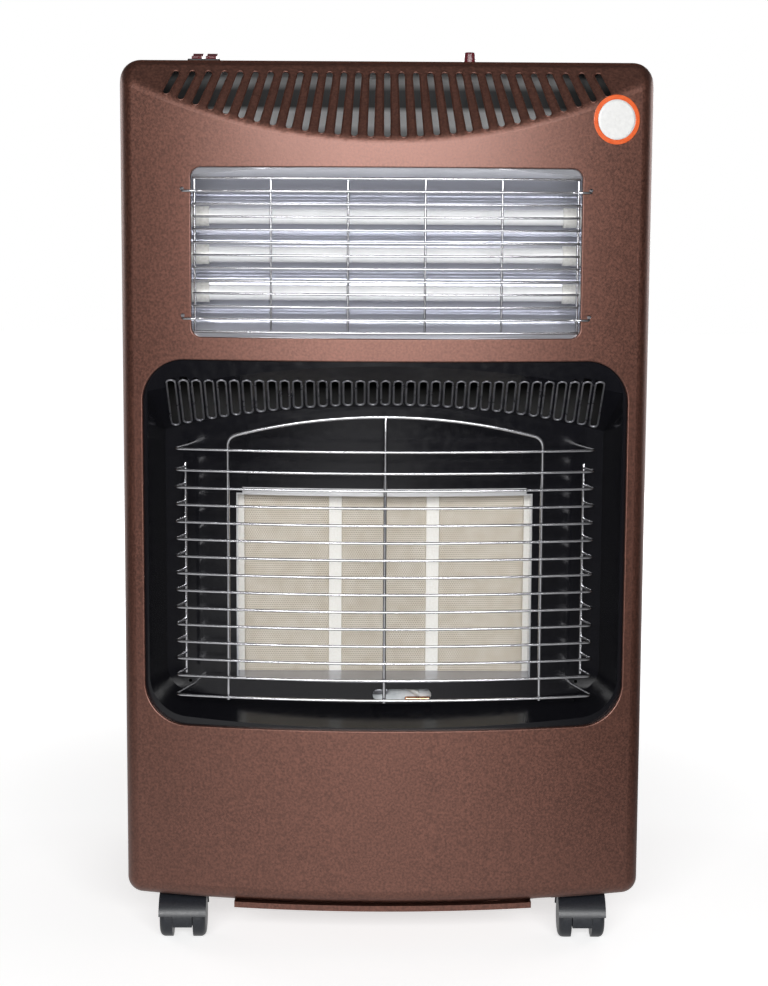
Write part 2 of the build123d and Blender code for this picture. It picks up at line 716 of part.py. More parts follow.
# ---------------------------------------------------------------- pilot group behind its window
bracket_y = front_y + surround_depth + 20.0
bracket_low = pilot_z - 10.0
bracket_high = pilot_z + 6.0
bracket_ends = (pilot_x - 30.0, pilot_x + 30.0)
surround_y = front_y + surround_depth
with BuildPart() as pilot_bracket:
    add(box_between((bracket_ends[0], surround_y, bracket_low),
                    (bracket_ends[1], bracket_y + sheet, bracket_high)))
    add(box_between((bracket_ends[0] + sheet, surround_y, bracket_low),
                    (bracket_ends[1] - sheet, bracket_y, bracket_high)), mode=Mode.SUBTRACT)
    add(bowed_slab(0, surround_depth + sheet, half_width, bracket_low, bracket_high),
        mode=Mode.SUBTRACT)
save(pilot_bracket.part, "pilot_bracket")

with BuildPart() as pilot_burner:
    with BuildSketch(Plane.YZ.offset(bracket_ends[0] + sheet)):
        with Locations((bracket_y - 4, pilot_z + 1)):
            Circle(4)
    extrude(amount=18)
    chamfer(pilot_burner.faces().sort_by(Axis.X)[-1].edges(), 1)
save(pilot_burner.part, "pilot_burner")

with BuildPart() as thermocouple:
    with BuildSketch(Plane.YZ.offset(bracket_ends[1] - sheet)):
        with Locations((bracket_y - 2, pilot_z - 7.3)):
            Circle(2)
    extrude(amount=-26)
    chamfer(thermocouple.faces().sort_by(Axis.X)[0].edges(), 0.8)
save(thermocouple.part, "thermocouple")

electrode_foot = (pilot_x + 14.0, bracket_y - 2.5, pilot_z - 3.0)
electrode_tip = (pilot_x + 1.0, bracket_y - 2.5, pilot_z + 5.0)
with BuildPart() as spark_electrode:
    with BuildLine() as lean:
        Line(electrode_foot, electrode_tip)
    with BuildSketch(Plane(origin=lean.line @ 0, z_dir=lean.line % 0)):
        Circle(2.2)
    sweep()
    with BuildSketch(Plane(origin=lean.line @ 1, z_dir=lean.line % 0)):
        Circle(0.8)
    extrude(amount=3)
save(spark_electrode.part, "spark_electrode")

# ---------------------------------------------------------------- lower wire guard
def returned_rod(z, length):
    """A bowed level rod whose ends turn back and lean inwards over a straight `length`."""
    side = radians(heading(guard_half, guard_inset))
    turn_x = guard_half - guard_bend * (1 - sin(side))
    turn = 90 + guard_lean - heading(turn_x, guard_inset)
    end_x, end_y = rod_end(length)
    with BuildPart(mode=Mode.PRIVATE) as bar:
        with BuildLine(Plane.XY.offset(z)):
            front = ThreePointArc((-turn_x, bow_y(turn_x, guard_inset)), (0, front_y + guard_inset),
                                  (turn_x, bow_y(turn_x, guard_inset)))
            right = JernArc(front @ 1, front % 1, guard_bend, turn)
            left = JernArc(front @ 0, -(front % 0), guard_bend, -turn)
            Line(right @ 1, (end_x, end_y))
            last = Line((-end_x, end_y), left @ 1)
        with BuildSketch(Plane(origin=last @ 0, z_dir=last % 0)):
            Circle(rod / 2)
        sweep()
    return bar.part


def upright(x, y, low, high, diameter):
    """A straight upright wire, kept outside any builder."""
    wire = Cylinder(diameter / 2, high - low, mode=Mode.PRIVATE)
    return Pos(x, y, (low + high) / 2) * wire


weld_inset = guard_inset + rod / 2 + frame_wire / 2 + weld_gap
row_heights = [guard_top_z - guard_row_pitch * row for row in range(guard_rows)]
arch_corner = 11.0

with BuildPart() as lower_guard:
    for row, z in enumerate(row_heights):
        add(returned_rod(z, wall_return + 3 if row in (0, guard_rows - 1) else guard_return))
    side_x, side_y = rod_end(guard_return + frame_wire / 2 + weld_gap)
    for x in (-side_x, side_x):
        add(upright(x, side_y, row_heights[-2] - 5, row_heights[1] + 5, frame_wire))
    add(upright(0, front_y + weld_inset, row_heights[-1] - rod,
                arch_top_z - frame_wire / 2 - weld_gap, frame_wire))
    with BuildLine() as arch:
        shoulder_y = bow_y(arch_half, weld_inset)
        shoulders = [(side * arch_half, shoulder_y, arch_shoulder_z) for side in (-1, 1)]
        whole_crown = ThreePointArc(shoulders[0], (0, front_y + weld_inset, arch_top_z),
                                    shoulders[1], mode=Mode.PRIVATE)
        share = arch_corner / (2 * arch_half)
        crown = ThreePointArc(whole_crown @ share, whole_crown @ 0.5, whole_crown @ (1 - share))
        posts = [(side * arch_half, shoulder_y, arch_shoulder_z - arch_corner) for side in (-1, 1)]
        post = Line((-arch_half, shoulder_y, row_heights[-1] - rod), posts[0])
        Bezier(posts[0], shoulders[0], crown @ 0)
        Bezier(crown @ 1, shoulders[1], posts[1])
        Line(posts[1], (arch_half, shoulder_y, row_heights[-1] - rod))
    with BuildSketch(Plane(origin=post @ 0, z_dir=post % 0)):
        Circle(frame_wire / 2)
    sweep(path=arch.line)
save(lower_guard.part, "lower_guard")

# ---------------------------------------------------------------- electric section
tube_y = front_y + tube_depth
tube_heights = [tube_z + tube_pitch * step for step in (1, 0, -1)]
end_wall_x = heater_window[0] / 2 + 0.6
reflector_back_y = front_y + reflector_depth
low_z = heater_window_z - heater_window[1] / 2
high_z = heater_window_z + heater_window[1] / 2


def trough_section(grow):
    """The reflector's section: two flared walls and a hollow behind each tube."""
    edges = [tube_heights[-1] - tube_pitch / 2 + tube_pitch * step for step in range(4)]
    with BuildSketch(Plane.YZ.offset(-end_wall_x - grow), mode=Mode.PRIVATE) as section:
        with BuildLine():
            Polyline((reflector_back_y, edges[0]), (front_y, low_z - 1.5), (front_y, high_z + 3),
                     (reflector_back_y, edges[3]))
            for low, high in zip(edges, edges[1:]):
                ThreePointArc((reflector_back_y, low),
                              (reflector_back_y + trough_depth, (low + high) / 2),
                              (reflector_back_y, high))
        make_face()
        if grow:
            offset(amount=grow, kind=Kind.INTERSECTION)
    return section.sketch


def reflector_trough(grow, near):
    """The space inside the reflector, `grow` larger all round, from inset `near` back."""
    with BuildPart(mode=Mode.PRIVATE) as trough:
        add(trough_section(grow))
        extrude(amount=2 * (end_wall_x + grow), dir=(1, 0, 0))
        add(bowed_block(near, half_width, rear_y, 0, lid_height), mode=Mode.INTERSECT)
    return trough.part


with BuildPart() as upper_reflector:
    add(window_prism(heater_window, heater_window_z, heater_window_round, 9)
        & bowed_slab(window_return, window_return + reflector_gauge, half_width, 0, lid_height))
    add(reflector_trough(reflector_gauge, window_return))
    add(reflector_trough(0, window_return / 2), mode=Mode.SUBTRACT)
    for z in tube_heights:
        through = Cylinder(cap_diameter / 2 + clearance, cabinet_width, mode=Mode.PRIVATE)
        add(Pos(0, tube_y, z) * Rot(0, 90, 0) * through, mode=Mode.SUBTRACT)
save(upper_reflector.part, "upper_reflector")

tube_names = ("quartz_tube_top", "quartz_tube_middle", "quartz_tube_bottom")
for name, z in zip(tube_names, tube_heights):
    with BuildPart() as quartz_tube:
        with BuildSketch(Plane.YZ):
            with Locations((tube_y, z)):
                Circle(tube_diameter / 2)
                Circle(tube_diameter / 2 - tube_wall, mode=Mode.SUBTRACT)
        extrude(amount=tube_half, both=True)
    save(quartz_tube.part, name)

tube_centres = [(tube_y, z) for z in tube_heights]
lead_half = tube_half - cap_cover + cap_length + 3
with BuildPart() as heating_coils:
    for radius, half in ((coil_diameter / 2, tube_half), (coil_lead / 2, lead_half)):
        with BuildSketch(Plane.YZ):
            with Locations(*tube_centres):
                Circle(radius)
        extrude(amount=half, both=True)
save(heating_coils.part, "heating_coils")

cap_start = tube_half - cap_cover
with BuildPart() as tube_end_caps:
    for side in (-1, 1):
        with BuildSketch(Plane.YZ.offset(side * cap_start)):
            with Locations(*tube_centres):
                Circle(cap_diameter / 2)
        extrude(amount=side * cap_length)
        with BuildSketch(Plane.YZ.offset(side * cap_start)):
            with Locations(*tube_centres):
                Circle(tube_diameter / 2 + running)
        extrude(amount=side * cap_cover, mode=Mode.SUBTRACT)
        with BuildSketch(Plane.YZ.offset(side * cap_start)):
            with Locations(*tube_centres):
                Circle(coil_lead / 2 + running)
        extrude(amount=side * cap_length, mode=Mode.SUBTRACT)
save(tube_end_caps.part, "tube_end_caps")

bracket_x = end_wall_x + reflector_gauge
with BuildPart() as tube_brackets:
    for side in (-1, 1):
        with BuildSketch(Plane.YZ.offset(side * bracket_x)):
            with Locations((tube_y, tube_z)):
                RectangleRounded(24, 2 * tube_pitch + 34, 5)
            with Locations(*tube_centres):
                Circle(cap_diameter / 2 + running, mode=Mode.SUBTRACT)
        extrude(amount=side * 1.6)
save(tube_brackets.part, "tube_brackets")

heater_rows = [heater_guard_top - heater_guard_pitch * row for row in range(heater_guard_rows)]
heater_columns = [heater_guard_column_pitch * (column - (heater_guard_columns - 1) / 2)
                  for column in range(heater_guard_columns)]
wire_inset = heater_wire / 2 + 0.6
wire_end = heater_window[0] / 2 - 1.6
jog_in = heater_window[0] / 2 - 6.0
jog_out = heater_window[0] / 2 - 1.5
over_inset = -heater_wire / 2 - 0.4


def hooked_end(side, z):
    """The end of a guard wire: out over the window's edge and into its hole in the panel."""
    route = [(side * (jog_in - 2), bow_y(jog_in - 2, wire_inset)),
             (side * jog_in, bow_y(jog_in, wire_inset)),
             (side * jog_out, bow_y(jog_out, over_inset)),
             (side * hook_x, bow_y(hook_x, over_inset)),
             (side * hook_x, bow_y(hook_x, window_return - 0.6))]
    with BuildPart(mode=Mode.PRIVATE) as end:
        with BuildLine(Plane.XY.offset(z)) as line:
            FilletPolyline(*route, radius=1.2)
        with BuildSketch(Plane(origin=line.line @ 0, z_dir=line.line % 0)):
            Circle(heater_wire / 2)
        sweep()
    return end.part


with BuildPart() as upper_guard:
    for row, z in enumerate(heater_rows):
        hooked = z in hook_heights
        half = jog_in - 1 if hooked else wire_end
        with BuildLine(Plane.XY.offset(z)):
            wire = ThreePointArc((-half, bow_y(half, wire_inset)), (0, front_y + wire_inset),
                                 (half, bow_y(half, wire_inset)))
        with BuildSketch(Plane(origin=wire @ 0, z_dir=wire % 0)):
            Circle(heater_wire / 2)
        sweep(path=wire)
        if hooked:
            add(hooked_end(-1, z))
            add(hooked_end(1, z))
    for x in heater_columns:
        add(upright(x, bow_y(x, wire_inset + heater_wire + weld_gap),
                    heater_rows[-1] - 0.5, heater_rows[0] + 0.5, heater_wire))
save(upper_guard.part, "upper_guard")

# ---------------------------------------------------------------- rocker switch
rocker_spots = [(switch_x + side * rocker_pitch / 2, switch_y) for side in (-1, 1)]
pocket = (rocker_size[0] + 0.8, rocker_size[1] + 2.4)
rim_top = lid_height + switch_rim
socket_radius = 1.0

with BuildPart() as switch_bezel:
    with BuildSketch(Plane.XY.offset(lid_height)):
        with Locations((switch_x, switch_y)):
            RectangleRounded(switch_size[0], switch_size[1], 2.5)
    extrude(amount=switch_rim, taper=12)
    with BuildSketch(Plane.XY.offset(lid_height - switch_depth)):
        with Locations((switch_x, switch_y)):
            Rectangle(*switch_body)
    extrude(amount=switch_depth)
    with BuildSketch(Plane.XY.offset(lid_height - rocker_well)):
        with Locations(*rocker_spots):
            Rectangle(*pocket)
    extrude(amount=rocker_well + switch_rim, mode=Mode.SUBTRACT)
    for x, y in rocker_spots:
        add(Pos(x, y, rocker_pivot_z) * Rot(0, 90, 0)
            * Cylinder(socket_radius + running, pocket[0] + 1.6, mode=Mode.PRIVATE),
            mode=Mode.SUBTRACT)
save(switch_bezel.part, "switch_bezel")

for name, (x, y) in zip(("rocker_left", "rocker_right"), rocker_spots):
    with BuildPart() as rocker:
        with BuildSketch(Plane.YZ.offset(x)):
            with BuildLine(Pos(y, rocker_pivot_z) * Rot(0, 0, rocker_tilt)):
                half_rocker = rocker_size[1] / 2
                Polyline((-half_rocker, 7), (0, 3.6), (half_rocker, 7), (half_rocker - 1.5, -1),
                         (half_rocker - 6, -4), (6 - half_rocker, -4), (1.5 - half_rocker, -1),
                         close=True)
            make_face()
        extrude(amount=rocker_size[0] / 2, both=True)
        crown = rocker.edges().filter_by(Axis.X).group_by(Axis.Z)
        fillet(crown[-1] + crown[-2], 1.0)
        with BuildSketch(Plane.YZ.offset(x)):
            with Locations((y, rocker_pivot_z)):
                Circle(socket_radius)
        extrude(amount=pocket[0] / 2 + 0.7, both=True)
    save(rocker.part, name)

# ---------------------------------------------------------------- gas knob and its spindle
knob_low = knob_floor + knob_lift
skirt_top = knob_low + knob_skirt
spindle_top = knob_top - 7.0
spindle_foot = valve_top - 20.0 + knob_travel + 3.2

with BuildPart() as valve_spindle:
    with BuildSketch(Plane.XY.offset(spindle_foot)):
        with Locations((knob_x, knob_y)):
            Circle(spindle_diameter / 2)
    extrude(amount=spindle_top - spindle_foot)
    chamfer(valve_spindle.faces().sort_by(Axis.Z)[-1].edges(), 0.6)
save(valve_spindle.part, "valve_spindle")

with BuildPart() as control_knob:
    with BuildSketch(Plane.XY.offset(knob_low)):
        with Locations((knob_x, knob_y)):
            Circle(knob_diameter / 2)
    extrude(amount=knob_skirt)
    fillet(control_knob.faces().sort_by(Axis.Z)[-1].edges(), 3)
    with BuildSketch(Plane.XY.offset(knob_low)):
        with Locations((knob_x, knob_y)):
            Circle(knob_diameter / 2 - 3)
            Circle(spindle_diameter / 2 + 3, mode=Mode.SUBTRACT)
    extrude(amount=knob_skirt - 3, mode=Mode.SUBTRACT)
    with BuildSketch(Plane.XY.offset(skirt_top - 1)):
        with Locations((knob_x, knob_y)):
            RectangleRounded(grip_width, knob_diameter - 4, 4)
    extrude(amount=knob_top - skirt_top + 1, taper=5)
    fillet(control_knob.faces().sort_by(Axis.Z)[-1].edges(), 1.5)
    with BuildSketch(Plane.XY.offset(knob_low)):
        with Locations((knob_x, knob_y)):
            Circle(spindle_diameter / 2 + running)
    extrude(amount=spindle_top + 1 - knob_low, mode=Mode.SUBTRACT)
save(control_knob.part, "control_knob")

# ---------------------------------------------------------------- rear door and its hinges
door_half = half_width - rear_flange - door_gap
door_high = lid_seam_z - 1.5
door_front = rear_y - door_fold
hinge_x = -door_half - 0.9
hinge_y = rear_y + barrel_gap + barrel_radius
finger_cup = Pos(cup_x, rear_y - cup[2] / 2, cup_z)

with BuildPart() as rear_door:
    add(box_between((-door_half, door_front, door_foot), (door_half, rear_y, door_high)))
    fillet(rear_door.edges().filter_by(Axis.Y), 3)
    add(box_between((sheet - door_half, door_front, door_foot + sheet),
                    (door_half - sheet, rear_y - sheet, door_high - sheet)), mode=Mode.SUBTRACT)
    with BuildSketch(Plane.XZ.offset(-rear_y)):
        for z in (door_foot + 60, door_high - 60):
            with Locations((0, z)):
                with GridLocations(door_slot[0] + 12, door_slot_pitch, 3, door_slot_rows):
                    SlotOverall(*door_slot)
    extrude(amount=4 * sheet, both=True, mode=Mode.SUBTRACT)
    add(finger_cup * Box(cup[0] + 2 * sheet, cup[2], cup[1] + 2 * sheet, mode=Mode.PRIVATE))
    add(Pos(0, -sheet / 2, 0) * finger_cup
        * Box(cup[0] + 2 * sheet, cup[2] + sheet, cup[1] + 2 * sheet, mode=Mode.PRIVATE))
    add(finger_cup * Box(cup[0], cup[2], cup[1], mode=Mode.PRIVATE), mode=Mode.SUBTRACT)
save(rear_door.part, "rear_door")


def knuckles(spans):
    """Hinge barrels round both hinges' axis, over the given spans of height about each."""
    with BuildPart(mode=Mode.PRIVATE) as barrels:
        for height in hinge_heights:
            for low, high in spans:
                with BuildSketch(Plane.XY.offset(height + low)):
                    with Locations((hinge_x, hinge_y)):
                        Circle(barrel_radius)
                extrude(amount=high - low)
    return barrels.part


def pin_bores(radius):
    """The bores through the barrels."""
    with BuildPart(mode=Mode.PRIVATE) as bores:
        for height in hinge_heights:
            with BuildSketch(Plane.XY.offset(height - leaf_length)):
                with Locations((hinge_x, hinge_y)):
                    Circle(radius)
            extrude(amount=2 * leaf_length)
    return bores.part


end_spans = ((-1.5 * knuckle, -knuckle / 2), (knuckle / 2, 1.5 * knuckle))
middle_span = (0.35 - knuckle / 2, knuckle / 2 - 0.35)
leaf_back = rear_y + leaf
pin_bore = pin_bores(pin_diameter / 2 + running)

with BuildPart() as hinge_leaves_cabinet:
    for height in hinge_heights:
        foot = height - leaf_length / 2
        head = height + leaf_length / 2
        add(box_between((hinge_x - 13.4, rear_y, foot), (hinge_x - 3.4, leaf_back, head)))
        for low, high in end_spans:
            add(box_between((hinge_x - 3.4, rear_y, height + low),
                            (hinge_x - 0.4, leaf_back, height + high)))
    add(knuckles(end_spans))
    add(pin_bore, mode=Mode.SUBTRACT)
save(hinge_leaves_cabinet.part, "hinge_leaves_cabinet")

with BuildPart() as hinge_leaves_door:
    for height in hinge_heights:
        foot = height - leaf_length / 2
        head = height + leaf_length / 2
        add(box_between((hinge_x + 3.4, rear_y, foot), (hinge_x + 14.6, leaf_back, head)))
        add(box_between((hinge_x + 0.9, rear_y, height + middle_span[0]),
                        (hinge_x + 3.4, leaf_back, height + middle_span[1])))
    add(knuckles((middle_span,)))
    add(pin_bore, mode=Mode.SUBTRACT)
save(hinge_leaves_door.part, "hinge_leaves_door")

with BuildPart() as hinge_pins:
    for height in hinge_heights:
        for low, radius, length in (
            (-leaf_length / 2, pin_diameter / 2, leaf_length),
            (-leaf_length / 2 - 1, pin_diameter / 2 + 1, 1),
            (leaf_length / 2, pin_diameter / 2 + 1, 1),
        ):
            with BuildSketch(Plane.XY.offset(height + low)):
                with Locations((hinge_x, hinge_y)):
                    Circle(radius)
            extrude(amount=length)
save(hinge_pins.part, "hinge_pins")

# ---------------------------------------------------------------- fittings at the rear and inside
with BuildPart() as door_catch:
    add(box_between((door_half - 5.5, door_front - 14.3, cup_z - 25),
                    (half_width - sheet, door_front - clearance, cup_z + 5)))
save(door_catch.part, "door_catch")

with BuildPart() as mains_gland:
    with BuildSketch(Plane.XZ.offset(-rear_y)):
        with Locations((gland_x, gland_z)):
            Circle(5.5)
    extrude(amount=-5)
    fillet(mains_gland.faces().sort_by(Axis.Y)[-1].edges(), 1)
    with BuildSketch(Plane.XZ.offset(-rear_y)):
        with Locations((gland_x, gland_z)):
            Circle(gland_neck - clearance)
    extrude(amount=8)
    add(bar_along_y((gland_x, rear_y, gland_z), 2.6, 40), mode=Mode.SUBTRACT)
save(mains_gland.part, "mains_gland")

shelf_top = shelf_height + sheet / 2
shelf_row_y = shield_y + 15.0    # near face of what stands on the shelf
block_size = (30.0, 16.0, 14.0)
block_x = switch_x + 26.5
with BuildPart() as terminal_block:
    add(box_between((block_x - block_size[0] / 2, shelf_row_y, shelf_top),
                    (block_x + block_size[0] / 2, shelf_row_y + block_size[1], shelf_top + block_size[2])))
    with BuildSketch(Plane.XY.offset(shelf_top + block_size[2])):
        with Locations((block_x, shelf_row_y + block_size[1] / 2)):
            with GridLocations(8, 8, 3, 2):
                Circle(2)
    extrude(amount=-5, mode=Mode.SUBTRACT)
save(terminal_block.part, "terminal_block")

with BuildPart() as tilt_switch:
    add(box_between((-70, shelf_row_y, shelf_top), (-50, shelf_row_y + 14, shelf_top + 24)))
    fillet(tilt_switch.edges().filter_by(Axis.Z), 2)
save(tilt_switch.part, "tilt_switch")

flange_screws = [(side * (half_width - rear_flange / 2), z)
                 for side in (-1, 1) for z in (120, 370, 625)]
skirt_screws = [(side * cup_x, lid_seam_z + lid_skirt / 2) for side in (-1, 1)]
with BuildPart() as panel_screws:
    with BuildSketch(Plane.XZ.offset(-rear_y)):
        with Locations(*flange_screws, *skirt_screws):
            Circle(3.5)
    extrude(amount=-1.6, taper=20)
save(panel_screws.part, "panel_screws")

# ---------------------------------------------------------------- castors
axle_z = wheel_diameter / 2
wheel_near = web_width / 2 + 0.4
wheel_far = wheel_near + wheel_width
hood_inner = wheel_diameter / 2 + 0.6
hood_outer = hood_inner + hood_gauge
boss_top = deck_height - 0.6
axle_end = wheel_far - 2.0

with BuildPart() as castor_fork:
    with BuildSketch(Plane.XY.offset(axle_z)):
        Circle(stem_diameter / 2 + 7)
    extrude(amount=boss_top - axle_z)
    with BuildSketch(Plane.YZ):
        with Locations((-castor_trail, axle_z)):
            Circle(hood_inner)
    extrude(amount=castor_width, both=True, mode=Mode.SUBTRACT)
    with BuildSketch(Plane.YZ):
        with Locations((-castor_trail, axle_z)):
            Circle(hood_outer)
            Circle(hood_inner, mode=Mode.SUBTRACT)
        with Locations((-castor_trail, 0)):
            Rectangle(3 * hood_outer, 2 * axle_z + 8, mode=Mode.SUBTRACT)
    extrude(amount=castor_width / 2, both=True)
    with BuildSketch(Plane.YZ):
        with Locations((-castor_trail, axle_z)):
            Circle(hood_outer)
        with Locations((-castor_trail, 0)):
            Rectangle(3 * hood_outer, 2 * web_foot, mode=Mode.SUBTRACT)
    extrude(amount=web_width / 2, both=True)
    with BuildSketch(Plane.YZ):
        with Locations((-castor_trail, axle_z)):
            Circle(axle_diameter / 2)
    extrude(amount=axle_end - 0.4, both=True)
    with BuildSketch(Plane.XY.offset(boss_top)):
        Circle(stem_diameter / 2)
    extrude(amount=socket_height - 1)


def castor_wheel(side):
    """One of a castor's two wheels about the castor's own stem; side is -1 or +1."""
    with BuildPart(mode=Mode.PRIVATE) as wheel:
        with BuildSketch(Plane.YZ.offset(side * wheel_near)):
            with Locations((-castor_trail, axle_z)):
                Circle(wheel_diameter / 2)
        extrude(amount=side * wheel_width)
        outer_face = wheel.faces().filter_by(Axis.X).sort_by(Axis.X)[-1 if side > 0 else 0]
        fillet(outer_face.edges(), 4.5)
        with BuildSketch(Plane.YZ.offset(side * wheel_near)):
            with Locations((-castor_trail, axle_z)):
                Circle(axle_diameter / 2 + running)
        extrude(amount=side * (axle_end - wheel_near), mode=Mode.SUBTRACT)
    return wheel.part


for spot, (x, y) in castor_spots.items():
    save(Pos(x, y, 0) * castor_fork.part, f"castor_fork_{spot}")
    for side, which in ((-1, "left"), (1, "right")):
        save(Pos(x, y, 0) * castor_wheel(side), f"castor_wheel_{spot}_{which}")
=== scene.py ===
"""Looks of the cabinet heater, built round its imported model. Metres; X right, Y back, Z up."""
import json
import math

import bpy
import numpy as np
from mathutils import Matrix, Vector


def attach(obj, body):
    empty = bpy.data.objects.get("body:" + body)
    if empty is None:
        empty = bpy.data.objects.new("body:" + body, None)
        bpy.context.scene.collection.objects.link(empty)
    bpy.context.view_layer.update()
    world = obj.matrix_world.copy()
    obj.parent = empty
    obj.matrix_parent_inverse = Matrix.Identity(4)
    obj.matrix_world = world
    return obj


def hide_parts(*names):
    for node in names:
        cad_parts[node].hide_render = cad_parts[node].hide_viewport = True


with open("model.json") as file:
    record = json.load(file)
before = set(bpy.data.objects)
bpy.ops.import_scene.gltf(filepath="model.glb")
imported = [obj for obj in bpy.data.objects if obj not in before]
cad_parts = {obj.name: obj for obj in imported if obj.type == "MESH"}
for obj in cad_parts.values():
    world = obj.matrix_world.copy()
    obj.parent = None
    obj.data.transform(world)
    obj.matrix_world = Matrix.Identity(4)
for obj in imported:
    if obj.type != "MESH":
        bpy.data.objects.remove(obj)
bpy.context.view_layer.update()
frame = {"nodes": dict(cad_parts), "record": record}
nodes = frame["nodes"]

MM = 0.001

# ---------------------------------------------------------------- sizes of the cabinet's solids
FRONT_Y = -215 * MM
HALF_WIDTH = 210 * MM
BOW_DEPTH = 32 * MM
BOW_RADIUS = (HALF_WIDTH ** 2 + BOW_DEPTH ** 2) / (2 * BOW_DEPTH)
CORNER_ROUND = 14 * MM
SURROUND_DEPTH = 45 * MM

# ---------------------------------------------------------------- sizes of the wire guards
GUARD_TOP_Z = 410.8 * MM
GUARD_FIRST_GAP = 17.0 * MM
GUARD_LAST_GAP = 16.2 * MM
GUARD_PITCH = 13.9 * MM
GUARD_ROWS = 15
GUARD_HALF = 167 * MM
GUARD_INSET = 4 * MM
GUARD_RETURN = 18 * MM
GUARD_BEND = 5 * MM
GUARD_LEAN = math.radians(17)
RETURN_BITE = 3 * MM
SIDE_WIRE_REACH = 3 * MM
WELD_GAP = 0.02 * MM
ROD_RADIUS = 1.1 * MM
FRAME_RADIUS = 1.4 * MM
ARCH_HALF = 125 * MM
ARCH_SHOULDER_Z = 421 * MM
ARCH_CORNER = 7 * MM
ARCH_TOP_Z = 438.5 * MM
ARCH_UP = (0, 1, 0.01)
HEATER_ROWS_Z = 564.4 * MM
HEATER_HALF = 153 * MM
HEATER_PITCH = 9.95 * MM
HEATER_ROWS = 13
HEATER_COLUMN_PITCH = 60.1 * MM
HEATER_COLUMNS = 6
HEATER_WIRE = 1.0 * MM
HEATER_SEAT = 0.6 * MM
HEATER_INSET = HEATER_WIRE + HEATER_SEAT
HEATER_END_GAP = 1.6 * MM
COLUMN_REACH = 0.5 * MM
JOG_IN, JOG_OUT, JOG_STEP = 6 * MM, 1.5 * MM, 2 * MM
JOG_GAP = 0.4 * MM
HOOK_REACH, HOOK_BEND, HOOK_DEPTH = 7 * MM, 1.6 * MM, 3.2 * MM
HOOK_TOP = 0.2 * MM
ROD_STEPS, BEND_STEPS, END_STEPS = 40, 14, 5
HEATER_STEPS, ARCH_STEPS = 65, 30


def bow_y(x, inset=0.0):
    """Y of the bowed front at x: the near point of a circle about a far centre, `inset` smaller."""
    return FRONT_Y + BOW_RADIUS - np.sqrt((BOW_RADIUS - inset) ** 2 - np.square(x))


# ---------------------------------------------------------------- mesh makers
def put(name, parts, body="cabinet", smooth=40):
    """Joins (points, faces) pairs into one object that rides on a body; smooth below that angle."""
    start = 0
    points, faces = [], []
    for some_points, some_faces in parts:
        points.append(np.asarray(some_points, float).reshape(-1, 3))
        faces += [tuple(int(i) + start for i in face) for face in some_faces]
        start += len(points[-1])
    mesh = bpy.data.meshes.new(name)
    mesh.from_pydata(np.concatenate(points).tolist(), [], faces)
    mesh.polygons.foreach_set("use_smooth", np.ones(len(mesh.polygons), bool))
    mesh.set_sharp_from_angle(angle=math.radians(smooth))
    mesh.update()
    piece = bpy.data.objects.new(name, mesh)
    bpy.context.scene.collection.objects.link(piece)
    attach(piece, body)
    return piece


def grid_faces(rows, columns, round_rows=False, round_columns=False):
    """Quads between neighbours of a rows by columns grid of points, wrapped round where asked."""
    i = np.arange(rows if round_rows else rows - 1)
    j = np.arange(columns if round_columns else columns - 1)
    i, j = [a.ravel() for a in np.meshgrid(i, j, indexing="ij")]
    below, right = (i + 1) % rows, (j + 1) % columns
    corners = (i * columns + j, i * columns + right, below * columns + right, below * columns + j)
    return np.stack(corners, axis=1)


DOME_TURNS = np.radians([70, 40, 15])
DOME_HEIGHT = 0.5


def tube(path, radius, sides=12, up=(0, 0, 1)):
    """A round bar along a path: a circle square to the path at each point, with domed ends whose
    rings shrink as a quarter ellipse does."""
    path = np.asarray(path, float)
    along = np.gradient(path, axis=0)
    along /= np.linalg.norm(along, axis=1, keepdims=True)
    side = np.cross(along, np.asarray(up, float))
    side /= np.linalg.norm(side, axis=1, keepdims=True)
    over = np.cross(side, along)
    rings = len(DOME_TURNS)
    reach = radius * DOME_HEIGHT * np.sin(DOME_TURNS)
    spine = np.concatenate([path[0] - reach[:, None] * along[0], path,
                            path[-1] + reach[::-1, None] * along[-1]])
    shrink = np.cos(DOME_TURNS)
    girth = np.concatenate([shrink, np.ones(len(path)), shrink[::-1]]) * radius
    side = np.concatenate([side[:1].repeat(rings, 0), side, side[-1:].repeat(rings, 0)])
    over = np.concatenate([over[:1].repeat(rings, 0), over, over[-1:].repeat(rings, 0)])
    turn = np.arange(sides) * 2 * math.pi / sides
    ring = (np.cos(turn)[None, :, None] * side[:, None]
            + np.sin(turn)[None, :, None] * over[:, None])
    points = (spine[:, None] + girth[:, None, None] * ring).reshape(-1, 3)
    first = path[0] - DOME_HEIGHT * radius * along[0]
    last = path[-1] + DOME_HEIGHT * radius * along[-1]
    faces = grid_faces(len(spine), sides, round_columns=True)[:, ::-1].tolist()
    count = len(points)
    edge = (len(spine) - 1) * sides
    faces += [(count, (k + 1) % sides, k) for k in range(sides)]
    faces += [(count + 1, edge + k, edge + (k + 1) % sides) for k in range(sides)]
    return np.concatenate([points, [first, last]]), faces


def bend(start, corner, end, steps):
    """Points of a quadratic Bezier from start to end, pulled to the corner."""
    t = np.linspace(0, 1, steps)[:, None]
    start, corner, end = (np.asarray(p, float) for p in (start, corner, end))
    return (1 - t) ** 2 * start + 2 * t * (1 - t) * corner + t ** 2 * end


def straight(start, end, steps):
    """Evenly spaced points of a straight run."""
    return np.linspace(np.asarray(start, float), np.asarray(end, float), steps)


def bowed(half, z, inset):
    """Points along the bowed front at one height, from -half to half."""
    x = np.linspace(-half, half, HEATER_STEPS)
    return np.stack([x, bow_y(x, inset), np.full_like(x, z)], axis=1)


def mirrored(right_half):
    """A path given from the middle to the right, carried on to the left as well."""
    left = right_half[:0:-1] * (-1, 1, 1)
    return np.concatenate([left, right_half])


